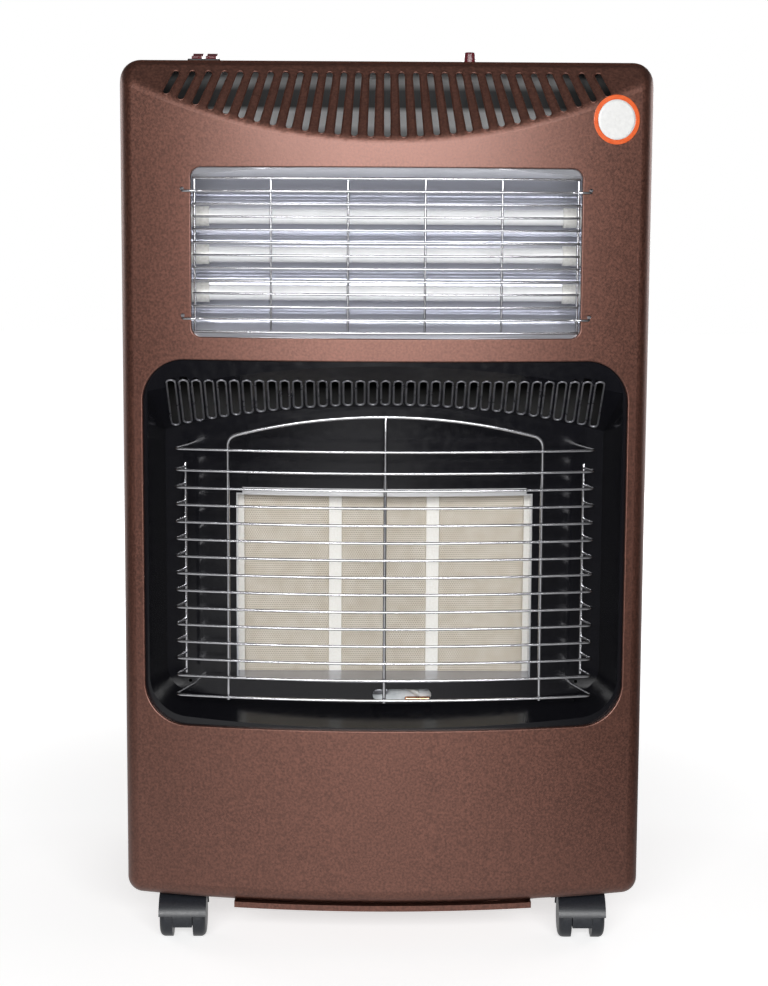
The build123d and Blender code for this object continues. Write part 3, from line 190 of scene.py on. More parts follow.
# ---------------------------------------------------------------- wire guards
def guard_rod(z, length):
    """A lower guard rod: the bow's circle, a small circle on each side that turns the heading
    round to the rear, and straight ends that lean inwards."""
    side = math.asin(GUARD_HALF / (BOW_RADIUS - GUARD_INSET))
    turn_x = GUARD_HALF - GUARD_BEND * (1 - math.sin(side))
    start = math.asin(turn_x / (BOW_RADIUS - GUARD_INSET))
    x = np.linspace(0, turn_x, ROD_STEPS)
    front = np.stack([x, bow_y(x, GUARD_INSET), np.full_like(x, z)], axis=1)
    turn = np.linspace(start, math.pi / 2 + GUARD_LEAN, BEND_STEPS)
    corner = np.stack([turn_x + GUARD_BEND * (np.sin(turn) - math.sin(start)),
                       bow_y(turn_x, GUARD_INSET) + GUARD_BEND * (math.cos(start) - np.cos(turn)),
                       np.full_like(turn, z)], axis=1)
    tip = corner[-1] + length * np.array([-math.sin(GUARD_LEAN), math.cos(GUARD_LEAN), 0])
    return mirrored(np.concatenate([front, corner[1:], straight(corner[-1], tip, END_STEPS)[1:]]))


def arch_path(inset, foot):
    """The arch: a crown on one circle through its top and its shoulders, a Bezier round each
    shoulder and a post down to the foot, all of it set back from the bow by the inset."""
    sagitta = ARCH_TOP_Z - ARCH_SHOULDER_Z
    radius = (ARCH_HALF ** 2 + sagitta ** 2) / (2 * sagitta)
    x = np.linspace(0, ARCH_HALF - ARCH_CORNER, ARCH_STEPS)
    z = ARCH_TOP_Z - radius + np.sqrt(radius ** 2 - x ** 2)
    crown = np.stack([x, bow_y(x, inset), z], axis=1)
    y = bow_y(ARCH_HALF, inset)
    shoulder = bend(crown[-1], (ARCH_HALF, y, ARCH_SHOULDER_Z),
                    (ARCH_HALF, y, ARCH_SHOULDER_Z - ARCH_CORNER), steps=9)
    post = straight(shoulder[-1], (ARCH_HALF, y, foot), steps=16)
    return mirrored(np.concatenate([crown, shoulder[1:], post[1:]]))


def lower_guard():
    """The lower guard's wires: bowed rods, of which the first and the last reach the surround's
    wall, a side wire along each row of ends, a wire up the middle, and the arch."""
    row_z = GUARD_TOP_Z - GUARD_FIRST_GAP - GUARD_PITCH * np.arange(-1, GUARD_ROWS - 1)
    row_z[0] = GUARD_TOP_Z
    row_z[-1] = row_z[-2] - GUARD_LAST_GAP
    to_wall = bow_y(GUARD_HALF, SURROUND_DEPTH) - guard_rod(0, 0)[-1][1]
    wall_return = to_wall / math.cos(GUARD_LEAN) + RETURN_BITE
    returns = [wall_return] + [GUARD_RETURN] * (GUARD_ROWS - 2) + [wall_return]
    wires = [tube(guard_rod(z, length), ROD_RADIUS) for z, length in zip(row_z, returns)]
    side_x, side_y, _ = guard_rod(0, GUARD_RETURN + FRAME_RADIUS)[-1]
    for x in (-side_x, side_x):
        side_wire = straight((x, side_y, row_z[-2] - SIDE_WIRE_REACH),
                             (x, side_y, row_z[1] + SIDE_WIRE_REACH), steps=12)
        wires.append(tube(side_wire, FRAME_RADIUS, up=(0, 1, 0)))
    inset = GUARD_INSET + ROD_RADIUS + FRAME_RADIUS + WELD_GAP
    foot = row_z[-1] - 2 * ROD_RADIUS
    middle_wire = straight((0, FRONT_Y + inset, foot), (0, FRONT_Y + inset, ARCH_TOP_Z), steps=12)
    wires.append(tube(middle_wire, FRAME_RADIUS, up=(0, 1, 0)))
    wires.append(tube(arch_path(inset, foot), FRAME_RADIUS, up=ARCH_UP))
    return wires


def hooked_wire(z):
    """A heater guard wire: the bow, then a Bezier out of the window, one that levels out over the
    panel, and one that turns down into it, with straight runs between them."""
    over_inset = -HEATER_WIRE - JOG_GAP
    jog_in, jog_out = HEATER_HALF - JOG_IN, HEATER_HALF - JOG_OUT
    hook_x = HEATER_HALF + HOOK_REACH
    x = np.linspace(0, jog_in - JOG_STEP, ROD_STEPS)
    front = np.stack([x, bow_y(x, HEATER_INSET), np.full_like(x, z)], axis=1)
    rise = bend(front[-1], (jog_in, bow_y(jog_in, HEATER_INSET), z),
                (jog_in + JOG_STEP, bow_y(jog_in + JOG_STEP, 0), z), END_STEPS)
    over = bend(rise[-1], (jog_out, bow_y(jog_out, over_inset), z),
                (jog_out + JOG_STEP, bow_y(jog_out + JOG_STEP, over_inset), z), END_STEPS)
    drop = bend((hook_x - HOOK_BEND, bow_y(hook_x - HOOK_BEND, over_inset), z),
                (hook_x, bow_y(hook_x, over_inset), z),
                (hook_x, bow_y(hook_x, HOOK_TOP), z), steps=6)
    tail = straight(drop[-1], (hook_x, bow_y(hook_x, HOOK_DEPTH), z), steps=3)
    return mirrored(np.concatenate([front, rise[1:], over[1:], drop, tail[1:]]))


def upper_guard():
    """The heater guard's wires: bowed rows at an even pitch, the second from each end hooked into
    the panel, and evenly spaced uprights behind them."""
    row_z = HEATER_ROWS_Z + HEATER_PITCH * (np.arange(HEATER_ROWS) - (HEATER_ROWS - 1) / 2)
    wires = []
    for row, z in enumerate(row_z):
        hooked = row in (1, HEATER_ROWS - 2)
        path = hooked_wire(z) if hooked else bowed(HEATER_HALF - HEATER_END_GAP, z, HEATER_INSET)
        wires.append(tube(path, HEATER_WIRE))
    for column in range(HEATER_COLUMNS):
        x = HEATER_COLUMN_PITCH * (column - (HEATER_COLUMNS - 1) / 2)
        y = bow_y(x, HEATER_INSET + 2 * HEATER_WIRE + WELD_GAP)
        upright = straight((x, y, row_z[0] - COLUMN_REACH), (x, y, row_z[-1] + COLUMN_REACH),
                           steps=14)
        wires.append(tube(upright, HEATER_WIRE, up=(0, 1, 0)))
    return wires


lower_guard_wires = put("lower_guard_wires", lower_guard())
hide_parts("lower_guard")
upper_guard_wires = put("upper_guard_wires", upper_guard())
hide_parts("upper_guard")

# ---------------------------------------------------------------- rolled edges of the pressed slots
def slot_edge(origin, down, normal, slots, radius, steps=10, sides=8):
    """Round beads along slot outlines on a flat face. Each outline is two half circles joined by
    straight sides, swept by a small circle. A slot is (x, distance down, length, width, turn)."""
    origin, down, normal = (np.asarray(v, float) for v in (origin, down, normal))
    parts = []
    half_turn = np.linspace(0, math.pi, steps)
    for x, u, length, width, turn in slots:
        end = length / 2 - width / 2
        across = np.concatenate([width / 2 * np.cos(half_turn), -width / 2 * np.cos(half_turn)])
        along = np.concatenate([end + width / 2 * np.sin(half_turn),
                                -end - width / 2 * np.sin(half_turn)])
        out = np.stack([np.concatenate([np.cos(half_turn), -np.cos(half_turn)]),
                        np.concatenate([np.sin(half_turn), -np.sin(half_turn)])], axis=1)
        spin = np.array([[math.cos(turn), math.sin(turn)], [-math.sin(turn), math.cos(turn)]])
        flat = np.stack([across, along], axis=1) @ spin + (x, u)
        out = out @ spin
        axes = np.stack([np.array([1.0, 0, 0]), down])
        centre = origin + flat @ axes
        side = out @ axes
        ring = np.arange(sides) * 2 * math.pi / sides
        points = (centre[:, None] + radius * (np.cos(ring)[None, :, None] * side[:, None]
                                              + np.sin(ring)[None, :, None] * normal))
        parts.append((points.reshape(-1, 3),
                      grid_faces(2 * steps, sides, round_rows=True, round_columns=True)))
    return parts


VENT_SLOPE = math.radians(41)
VENT_FOOT = 443 * MM
VENT_RISE = 23 * MM
VENT_COUNT, VENT_PITCH, VENT_WIDTH, VENT_MARGIN = 35, 10 * MM, 6.8 * MM, 3 * MM
VENT_BEAD = 0.75 * MM
VENT_Y = FRONT_Y + SURROUND_DEPTH - VENT_RISE / math.tan(VENT_SLOPE)

COVE_SLOPE = math.radians(56.7)
COVE_FOOT, LOUVRE_TOP = 654 * MM, 707 * MM
LOUVRE_COUNT, LOUVRE_WIDTH, LOUVRE_LIFT, LOUVRE_BEAD = 29, 6.2 * MM, 1.5 * MM, 0.7 * MM
FAN_RADIUS, FAN_STEP = 398 * MM, math.radians(1.6)
FOOT_ROUNDS = 3
COVE_Y = FRONT_Y + (LOUVRE_TOP - COVE_FOOT) / math.tan(COVE_SLOPE)


def vent_slots():
    """The slots of the surround's vent band: parallel, at an even pitch, each as long as the
    slope between its straight top and the bowed wall, less a margin."""
    slots = []
    for index in range(VENT_COUNT):
        x = (index - (VENT_COUNT - 1) / 2) * VENT_PITCH
        length = (bow_y(x, SURROUND_DEPTH) - VENT_Y) / math.cos(VENT_SLOPE) - VENT_MARGIN
        slots.append((x, length / 2, length, VENT_WIDTH, 0.0))
    return slots


def cove_reach(x):
    """How far the sloped cove runs down from the louvres' tops before it meets the bow at x."""
    slope_length = (LOUVRE_TOP - COVE_FOOT) / math.sin(COVE_SLOPE)
    return slope_length - (bow_y(x) - FRONT_Y) / math.cos(COVE_SLOPE)


def louvre_slots():
    """The cove's louvres: slots along the spokes of a fan round one far centre above them, from
    one level line down to where the cove meets the bow. A foot's x depends on the cove's reach
    at that x, and a few rounds settle it."""
    slots = []
    for index in range(LOUVRE_COUNT):
        turn = (index - (LOUVRE_COUNT - 1) / 2) * FAN_STEP
        foot_x = FAN_RADIUS * math.tan(turn)
        for _ in range(FOOT_ROUNDS):
            foot_x = (FAN_RADIUS + cove_reach(foot_x)) * math.tan(turn)
        start = FAN_RADIUS / math.cos(turn)
        end = (FAN_RADIUS + cove_reach(foot_x) - LOUVRE_LIFT) / math.cos(turn)
        middle = (start + end) / 2
        slots.append((middle * math.sin(turn), middle * math.cos(turn) - FAN_RADIUS,
                      end - start, LOUVRE_WIDTH, -turn))
    return slots


vent_edges = put("vent_edges", slot_edge(
    (0, VENT_Y, VENT_FOOT + VENT_RISE), (0, math.cos(VENT_SLOPE), -math.sin(VENT_SLOPE)),
    (0, -math.sin(VENT_SLOPE), -math.cos(VENT_SLOPE)), vent_slots(), VENT_BEAD))
louvre_edges = put("louvre_edges", slot_edge(
    (0, COVE_Y, LOUVRE_TOP), (0, -math.cos(COVE_SLOPE), -math.sin(COVE_SLOPE)),
    (0, -math.sin(COVE_SLOPE), math.cos(COVE_SLOPE)), louvre_slots(), LOUVRE_BEAD))

# ---------------------------------------------------------------- plain round badge
BADGE_CENTRE = (179.5 * MM, 671 * MM)
BADGE_RADIUS = 19.2 * MM
BADGE_FACE_RADIUS = 15.6 * MM
BADGE_RIM_LIFT, BADGE_FACE_LIFT = 0.16 * MM, 0.14 * MM
BADGE_SHEET = 0.1 * MM
BADGE_RINGS, BADGE_SPOKES = 8, 96
PLAN_STEPS, CORNER_STEPS = 200, 40


def plan_curve():
    """Points of the cabinet's outline in plan, and their distance along it, from the middle to
    the right: the bow, then a quarter bend of the corner's radius, then the side."""
    inner = BOW_RADIUS - CORNER_ROUND
    centre_x = HALF_WIDTH - CORNER_ROUND
    centre_y = FRONT_Y + BOW_RADIUS - math.sqrt(inner ** 2 - centre_x ** 2)
    lean = math.asin(centre_x / inner)
    x = np.linspace(0, BOW_RADIUS * math.sin(lean), PLAN_STEPS)
    turn = np.linspace(lean, math.pi / 2, CORNER_STEPS)
    corner = np.stack([centre_x + CORNER_ROUND * np.sin(turn),
                       centre_y - CORNER_ROUND * np.cos(turn)], axis=1)
    line = np.concatenate([np.stack([x, bow_y(x)], axis=1), corner[1:]])
    step = np.linalg.norm(np.diff(line, axis=0), axis=1)
    return line, np.concatenate([[0], np.cumsum(step)])


def badge_ring(name, inner, outer, lift):
    """A thin ring or disc that lies on the panel: polar rings of points, laid along the plan's
    outline, with a fan round the middle where there is no inner radius."""
    line, distance = plan_curve()
    heading = np.gradient(line, axis=0)
    heading /= np.linalg.norm(heading, axis=1, keepdims=True)
    centre = np.interp(BADGE_CENTRE[0], line[:, 0], distance)
    radius = np.linspace(inner if inner else outer / BADGE_RINGS, outer, BADGE_RINGS)
    turn = np.arange(BADGE_SPOKES) * 2 * math.pi / BADGE_SPOKES
    along = centre + radius[:, None] * np.cos(turn)
    height = BADGE_CENTRE[1] + radius[:, None] * np.sin(turn)
    out_x = np.interp(along, distance, heading[:, 1])
    out_y = -np.interp(along, distance, heading[:, 0])
    x = np.interp(along, distance, line[:, 0]) + lift * out_x
    y = np.interp(along, distance, line[:, 1]) + lift * out_y
    points = np.stack([x, y, height], axis=2).reshape(-1, 3)
    faces = grid_faces(BADGE_RINGS, BADGE_SPOKES, round_columns=True).tolist()
    if not inner:
        points = np.concatenate([points, points[:BADGE_SPOKES].mean(axis=0, keepdims=True)])
        faces += [(len(points) - 1, k, (k + 1) % BADGE_SPOKES) for k in range(BADGE_SPOKES)]
    ring = put(name, [(points, faces)])
    skin = ring.modifiers.new("thickness", "SOLIDIFY")
    skin.thickness = BADGE_SHEET
    skin.offset = -1
    return ring


badge_rim = badge_ring("badge_rim", BADGE_FACE_RADIUS, BADGE_RADIUS, BADGE_RIM_LIFT)
badge_face = badge_ring("badge_face", 0, BADGE_FACE_RADIUS, BADGE_FACE_LIFT)


# ---------------------------------------------------------------- materials
LID_TOP_Z = 716 * MM
LID_ROUND = 5 * MM
BAFFLE_FOOT_Z, BAFFLE_TOP_Z = 655 * MM, 710 * MM
BAFFLE_SHADE_FROM, BAFFLE_SHADE_TO = 128 * MM, 150 * MM
LIP_LOW_Z, LIP_HIGH_Z = 220 * MM, 300 * MM
BURNER_HOLE_PITCH = 1.9 * MM
BURNER_HOLE_EDGE, BURNER_HOLE_FLOOR = 0.9, 1.7


def new_material(name, colour, roughness, metallic=0.0):
    """A Principled material with its plain values set on the shader's own sockets."""
    material = bpy.data.materials.new(name)
    material.use_nodes = True
    shader = material.node_tree.nodes["Principled BSDF"]
    shader.inputs["Base Color"].default_value = (*colour, 1)
    shader.inputs["Roughness"].default_value = roughness
    shader.inputs["Metallic"].default_value = metallic
    return material, material.node_tree, shader


def node(tree, kind, links=(), **values):
    """A node with its settings, and links from (output) to (input name or number)."""
    made = tree.nodes.new(kind)
    for key, value in values.items():
        if key in made.inputs:
            made.inputs[key].default_value = value
        else:
            setattr(made, key, value)
    for output, socket in links:
        tree.links.new(output, made.inputs[socket])
    return made


def object_place(tree):
    """The point's place in object coordinates."""
    return node(tree, "ShaderNodeTexCoord").outputs["Object"]


def object_axes(tree):
    """The X, Y and Z of the point in object coordinates, as outputs by name."""
    return node(tree, "ShaderNodeSeparateXYZ", [(object_place(tree), "Vector")]).outputs


def noise(tree, size, detail=2.0, roughness=0.5, stretch=(1, 1, 1)):
    """Noise on object coordinates; size is that of its blobs in metres."""
    scaled = node(tree, "ShaderNodeMapping", [(object_place(tree), "Vector")], Scale=stretch)
    return node(tree, "ShaderNodeTexNoise", [(scaled.outputs["Vector"], "Vector")],
                Scale=1 / size, Detail=detail, Roughness=roughness).outputs["Fac"]


def ramp(tree, value, stops):
    """A colour ramp through (position, grey or colour) stops."""
    made = node(tree, "ShaderNodeValToRGB", [(value, "Fac")])
    elements = made.color_ramp.elements
    for index, (position, colour) in enumerate(stops):
        element = elements[index] if index < 2 else elements.new(position)
        element.position = position
        colour = (colour,) * 3 if isinstance(colour, (int, float)) else colour
        element.color = (*colour, 1)
    return made.outputs["Color"]


def bump(tree, shader, height, depth, strength=1.0):
    """Raises the surface by a height pattern, depth in metres."""
    raised = node(tree, "ShaderNodeBump", [(height, "Height")], Distance=depth, Strength=strength)
    tree.links.new(raised.outputs["Normal"], shader.inputs["Normal"])


def blend_colours(tree, factor, first, second):
    """Mixes two colours by a factor."""
    mixed = node(tree, "ShaderNodeMix", data_type="RGBA")
    tree.links.new(factor, mixed.inputs[0])
    for socket, colour in ((6, first), (7, second)):
        if isinstance(colour, tuple):
            mixed.inputs[socket].default_value = (*colour, 1)
        else:
            tree.links.new(colour, mixed.inputs[socket])
    return mixed.outputs[2]


def math_node(tree, operation, *values):
    """A math node on outputs or plain numbers, and its output."""
    made = node(tree, "ShaderNodeMath", operation=operation)
    for index, value in enumerate(values):
        if isinstance(value, (int, float)):
            made.inputs[index].default_value = value
        else:
            tree.links.new(value, made.inputs[index])
    return made.outputs[0]


def spread(tree, value, low, high, start=0.0, end=1.0, easing="SMOOTHSTEP"):
    """A value carried from low..high to start..end, eased at both ends unless told otherwise."""
    made = node(tree, "ShaderNodeMapRange", [(value, "Value")], interpolation_type=easing)
    limits = {"From Min": low, "From Max": high, "To Min": start, "To Max": end}
    for name, number in limits.items():
        made.inputs[name].default_value = number
    return made.outputs[0]


def ray_kinds(tree):
    """The camera rays, and the glossy and transmission rays, as two switches of 0 or 1."""
    path = node(tree, "ShaderNodeLightPath").outputs
    return path["Is Camera Ray"], math_node(tree, "MAXIMUM", path["Is Glossy Ray"],
                                            path["Is Transmission Ray"])


def hammered_paint():
    """Brown metallic stove paint: fine flakes and a soft cloud in the colour, slight orange peel.
    It grows duller and loses its clear coat over the rounding of the lid, up to its flat top."""
    material, tree, shader = new_material("hammered_paint", (0.145, 0.055, 0.036), 0.48, 0.85)
    flake = noise(tree, 1.9 * MM, roughness=0.55)
    cloud = noise(tree, 34 * MM)
    flakes = ramp(tree, flake, [(0.36, (0.102, 0.037, 0.024)), (0.66, (0.228, 0.090, 0.061))])
    clouds = ramp(tree, cloud, [(0.3, (0.138, 0.051, 0.033)), (0.7, (0.164, 0.063, 0.042))])
    soft = ramp(tree, noise(tree, 6 * MM), [(0.3, 0.5), (0.7, 0.7)])
    tree.links.new(blend_colours(tree, soft, clouds, flakes), shader.inputs["Base Color"])
    height = object_axes(tree)["Z"]
    flaked = spread(tree, flake, 0.3, 0.7, 0.42, 0.53)
    dulled = spread(tree, height, LID_TOP_Z - LID_ROUND, LID_TOP_Z, 0.0, 0.32)
    coat = spread(tree, height, LID_TOP_Z - LID_ROUND, LID_TOP_Z, 0.5, 0.0)
    tree.links.new(math_node(tree, "ADD", flaked, dulled), shader.inputs["Roughness"])
    tree.links.new(coat, shader.inputs["Coat Weight"])
    shader.inputs["Coat Roughness"].default_value = 0.38
    shader.inputs["Coat IOR"].default_value = 1.7
    bump(tree, shader, noise(tree, 2.2 * MM), depth=0.22 * MM, strength=0.5)
    return material


def gloss_enamel():
    """Black vitreous enamel: mirror gloss with a long orange peel."""
    material, tree, shader = new_material("gloss_enamel", (0.006, 0.006, 0.008), 0.16)
    tree.links.new(ramp(tree, noise(tree, 6 * MM, detail=3), [(0.3, 0.12), (0.75, 0.22)]),
                   shader.inputs["Roughness"])
    shader.inputs["Specular IOR Level"].default_value = 0.42
    bump(tree, shader, noise(tree, 14 * MM), depth=0.5 * MM, strength=0.25)
    return material


def bright_wire():
    """Chrome-plated wire with slightly hazy patches."""
    material, tree, shader = new_material("bright_wire", (0.64, 0.64, 0.67), 0.23, 1.0)
    tree.links.new(ramp(tree, noise(tree, 28 * MM, detail=1), [(0.3, 0.20), (0.75, 0.26)]),
                   shader.inputs["Roughness"])
    return material


def polished_sheet():
    """Bright rolled sheet: fine rolling lines along X and a gentle waviness."""
    material, tree, shader = new_material("polished_sheet", (0.60, 0.61, 0.66), 0.1, 0.6)
    lines = noise(tree, 1.2 * MM, detail=3, roughness=0.6, stretch=(0.03, 1, 1))
    tree.links.new(ramp(tree, lines, [(0.3, 0.06), (0.75, 0.15)]), shader.inputs["Roughness"])
    waves = noise(tree, 40 * MM, detail=1, stretch=(0.6, 1, 1))
    bump(tree, shader, waves, depth=1.0 * MM, strength=0.3)
    return material


def zinc_sheet():
    """Zinc-plated steel with a faint spangle."""
    material, tree, shader = new_material("zinc_sheet", (0.52, 0.53, 0.54), 0.34, 1.0)
    spangle = noise(tree, 7 * MM, detail=4, roughness=0.6)
    tree.links.new(ramp(tree, spangle, [(0.3, (0.42, 0.43, 0.45)), (0.7, (0.6, 0.6, 0.6))]),
                   shader.inputs["Base Color"])
    tree.links.new(ramp(tree, spangle, [(0.3, 0.26), (0.7, 0.42)]), shader.inputs["Roughness"])
    return material


def burner_ceramic():
    """Beige fired ceramic with a close hexagonal field of small round burner holes, each painted
    dark as the shade inside it: the sum of three cosine waves at 60 degrees to each other peaks in
    the middle of each hole."""
    material, tree, shader = new_material("burner_ceramic", (0.55, 0.49, 0.39), 0.85)
    axes = object_axes(tree)
    wave_count = 4 * math.pi / (BURNER_HOLE_PITCH * math.sqrt(3))
    waves = []
    for angle in (90, 30, -30):
        lean = math.radians(angle)
        across = math_node(tree, "MULTIPLY", axes["X"], math.cos(lean) * wave_count)
        both = math_node(tree, "MULTIPLY_ADD", axes["Z"], math.sin(lean) * wave_count, across)
        waves.append(math_node(tree, "COSINE", both))
    total = math_node(tree, "ADD", math_node(tree, "ADD", waves[0], waves[1]), waves[2])
    hole = spread(tree, total, BURNER_HOLE_EDGE, BURNER_HOLE_FLOOR)
    mottle = ramp(tree, noise(tree, 9 * MM, detail=3),
                  [(0.3, (0.61, 0.55, 0.46)), (0.7, (0.71, 0.66, 0.58))])
    # painted shade: each hole is darkened, as the shade inside it
    tree.links.new(blend_colours(tree, hole, mottle, (0.26, 0.21, 0.15)),
                   shader.inputs["Base Color"])
    bump(tree, shader, math_node(tree, "SUBTRACT", 1.0, hole), depth=0.5 * MM, strength=0.6)
    return material


def speckled(name, dark, light, size, roughness, metallic=0.0, relief=0.03, coat=0.0):
    """A plain finish whose colour and roughness drift between two values, with a faint relief.
    The size of the specks and the relief are in millimetres."""
    material, tree, shader = new_material(name, light, roughness, metallic)
    drift = noise(tree, size * MM, detail=3, roughness=0.6)
    tree.links.new(ramp(tree, drift, [(0.3, dark), (0.7, light)]), shader.inputs["Base Color"])
    tree.links.new(ramp(tree, drift, [(0.3, roughness * 0.85), (0.7, roughness * 1.15)]),
                   shader.inputs["Roughness"])
    shader.inputs["Coat Weight"].default_value = coat
    bump(tree, shader, drift, depth=relief * MM, strength=0.4)
    return material


def baffle_sheet():
    """Bright sheet behind the louvres: painted reflection in bands of grey up its height, and
    painted shade that darkens its ends.
    """
    material, tree, shader = new_material("baffle_sheet", (0.8, 0.8, 0.8), 0.42, 0.3)
    axes = object_axes(tree)
    height = spread(tree, axes["Z"], BAFFLE_FOOT_Z, BAFFLE_TOP_Z, easing="LINEAR")
    # painted reflection: bands of grey up the height stand in for what the curved sheet mirrors
    bands = ramp(tree, height, [(0, 0.30), (0.12, 0.45), (0.22, 1.0), (0.40, 0.95),
                                (0.48, 0.10), (0.70, 0.10), (0.80, 0.50), (1, 0.40)])
    # painted shade: the sheet darkens towards both ends
    ends = spread(tree, math_node(tree, "ABSOLUTE", axes["X"]),
                  BAFFLE_SHADE_FROM, BAFFLE_SHADE_TO, 0.0, 0.8)
    tree.links.new(blend_colours(tree, ends, bands, (0.05, 0.05, 0.05)),
                   shader.inputs["Base Color"])
    return material


def lip_sheet():
    """Bright sheet of the burner's frame, with painted shade that darkens it along its lower lip.
    """
    material, tree, shader = new_material("lip_sheet", (0.8, 0.8, 0.82), 0.16, 0.5)
    # painted shade: the lower lip is made greyer than the bright sheet above it
    upper = spread(tree, object_axes(tree)["Z"], LIP_LOW_Z, LIP_HIGH_Z)
    tree.links.new(blend_colours(tree, upper, (0.46, 0.47, 0.51), (0.93, 0.93, 0.95)),
                   shader.inputs["Base Color"])
    return material


finishes = {
    "brown_paint": hammered_paint(),
    "black_enamel": gloss_enamel(),
    "chrome_wire": bright_wire(),
    "polished_sheet": polished_sheet(),
    "zinc_sheet": zinc_sheet(),
    "ceramic": burner_ceramic(),
    "white_ceramic": speckled(
        "white_ceramic", (0.74, 0.73, 0.69), (0.84, 0.83, 0.80), size=3, roughness=0.28, coat=0.3),
    "fibre": speckled(
        "fibre_packing", (0.84, 0.82, 0.77), (0.94, 0.93, 0.90), size=1.5, roughness=0.95,
        relief=0.3),
    "brass": speckled(
        "turned_brass", (0.56, 0.40, 0.17), (0.74, 0.57, 0.28), size=4, roughness=0.26,
        metallic=1.0),
    "copper_pipe": speckled(
        "drawn_copper", (0.54, 0.25, 0.13), (0.76, 0.42, 0.26), size=5, roughness=0.28,
        metallic=1.0),
    "frosted_quartz": speckled(
        "frosted_quartz", (0.88, 0.89, 0.90), (0.95, 0.95, 0.96), size=6, roughness=0.32),
    "heating_wire": speckled(
        "heating_wire", (0.12, 0.11, 0.10), (0.3, 0.28, 0.26), size=1, roughness=0.5,
        metallic=0.8),
    "maroon_plastic": speckled(
        "maroon_plastic", (0.10, 0.012, 0.018), (0.16, 0.024, 0.032), size=3, roughness=0.18,
        coat=0.4),
    "black_plastic": speckled(
        "black_plastic", (0.014, 0.014, 0.015), (0.032, 0.032, 0.034), size=1, roughness=0.45),
    "white_plastic": speckled(
        "white_plastic", (0.70, 0.70, 0.68), (0.80, 0.80, 0.77), size=2, roughness=0.4),
    "castor_plastic": speckled(
        "castor_plastic", (0.012, 0.014, 0.018), (0.024, 0.027, 0.034), size=1.2, roughness=0.36),
}
orange_print = speckled(
    "orange_print", (0.72, 0.10, 0.02), (0.80, 0.14, 0.03), size=3, roughness=0.35, coat=0.2)
white_print = speckled(
    "white_print", (0.74, 0.74, 0.73), (0.82, 0.82, 0.81), size=3, roughness=0.35, coat=0.2)
# painted highlight: the black enamel beads round the vents are given a pale metallic grey, so their
# edges show as light lines
bead_highlight = speckled(
    "bead_highlight", (0.27, 0.27, 0.30), (0.42, 0.42, 0.45), size=9, roughness=0.3, metallic=0.85)
# A near-black sheet, for the heat shield and the burner housing.
near_black = speckled(
    "near_black_sheet", (0.012, 0.012, 0.013), (0.028, 0.027, 0.026), size=20, roughness=0.55,
    metallic=0.6)
# painted light: the pilot bracket is made pale and little metallic, so it shows light in its shaded
# recess
pilot = speckled(
    "pilot_sheet", (0.66, 0.70, 0.73), (0.82, 0.85, 0.87), size=6, roughness=0.4, metallic=0.2)
for piece, finish in ((badge_rim, orange_print), (badge_face, white_print),
                      (lower_guard_wires, finishes["chrome_wire"]),
                      (upper_guard_wires, finishes["chrome_wire"]),
                      (vent_edges, bead_highlight), (louvre_edges, finishes["brown_paint"])):
    piece.data.materials.append(finish)
inner_finishes = {"heat_shield": near_black, "burner_housing": near_black, "burner_frame": lip_sheet(),
                  "hot_air_baffle": baffle_sheet(), "pilot_bracket": pilot}
for subpart in frame["record"]["subparts"]:
    carried = nodes[subpart["node"]]
    finish = inner_finishes.get(subpart["node"], finishes[subpart["material_slot"]])
    carried.data.materials.clear()
    carried.data.materials.append(finish)

# ---------------------------------------------------------------- floor, light and camera
FLOOR_SIZE = 16
FLOOR_GREY, MIRRORED_GREY = (0.80, 0.80, 0.80), (0.05, 0.05, 0.05)
SHADOW_WITHIN, WHITE_BEYOND = 0.35, 1.3
SHADOW_LEVEL = 0.62
STRIPE_X, STRIPE_HALF, STRIPE_FADE, STRIPE_LEVEL = -0.25, 0.25, 1.0, 0.62
REAR_FLOOR_FROM, REAR_FLOOR_TO = 0.2, 1.2
WORLD_LEVEL = 0.07
OVERHEAD_LEVEL = 0.2
REAR_FROM, REAR_TO = 0.8, 0.95
HIGH_FROM, HIGH_TO = 0.0, 0.5
FRONT_FROM, FRONT_TO = 0.1, -0.3
CENTRAL_WITHIN, CENTRAL_FADE = 0.25, 0.6


def studio_floor():
    """A pale floor that keeps the heater's shadow and turns white away from it. In a mirror it is
    dark, with one soft pale stripe that runs back beside the middle, and white at the rear."""
    material, tree, shader = new_material("studio_floor", FLOOR_GREY, 0.9)
    seen, mirrored_ray = ray_kinds(tree)
    axes = object_axes(tree)
    distance = node(tree, "ShaderNodeVectorMath", [(object_place(tree), 0)],
                    operation="LENGTH").outputs["Value"]
    level = spread(tree, distance, SHADOW_WITHIN, WHITE_BEYOND, SHADOW_LEVEL, 1.0)
    aside = math_node(tree, "ABSOLUTE", math_node(tree, "SUBTRACT", axes["X"], STRIPE_X))
    stripe = spread(tree, aside, STRIPE_HALF, STRIPE_FADE, STRIPE_LEVEL, 0.0)
    rear = spread(tree, axes["Y"], REAR_FLOOR_FROM, REAR_FLOOR_TO)
    white = math_node(tree, "MULTIPLY", seen, level)
    mirrored = math_node(tree, "MULTIPLY", mirrored_ray, math_node(tree, "MAXIMUM", stripe, rear))
    shader.inputs["Emission Color"].default_value = (1, 1, 1, 1)
    tree.links.new(math_node(tree, "ADD", white, mirrored), shader.inputs["Emission Strength"])
    tree.links.new(blend_colours(tree, mirrored_ray, FLOOR_GREY, MIRRORED_GREY),
                   shader.inputs["Base Color"])
    return material


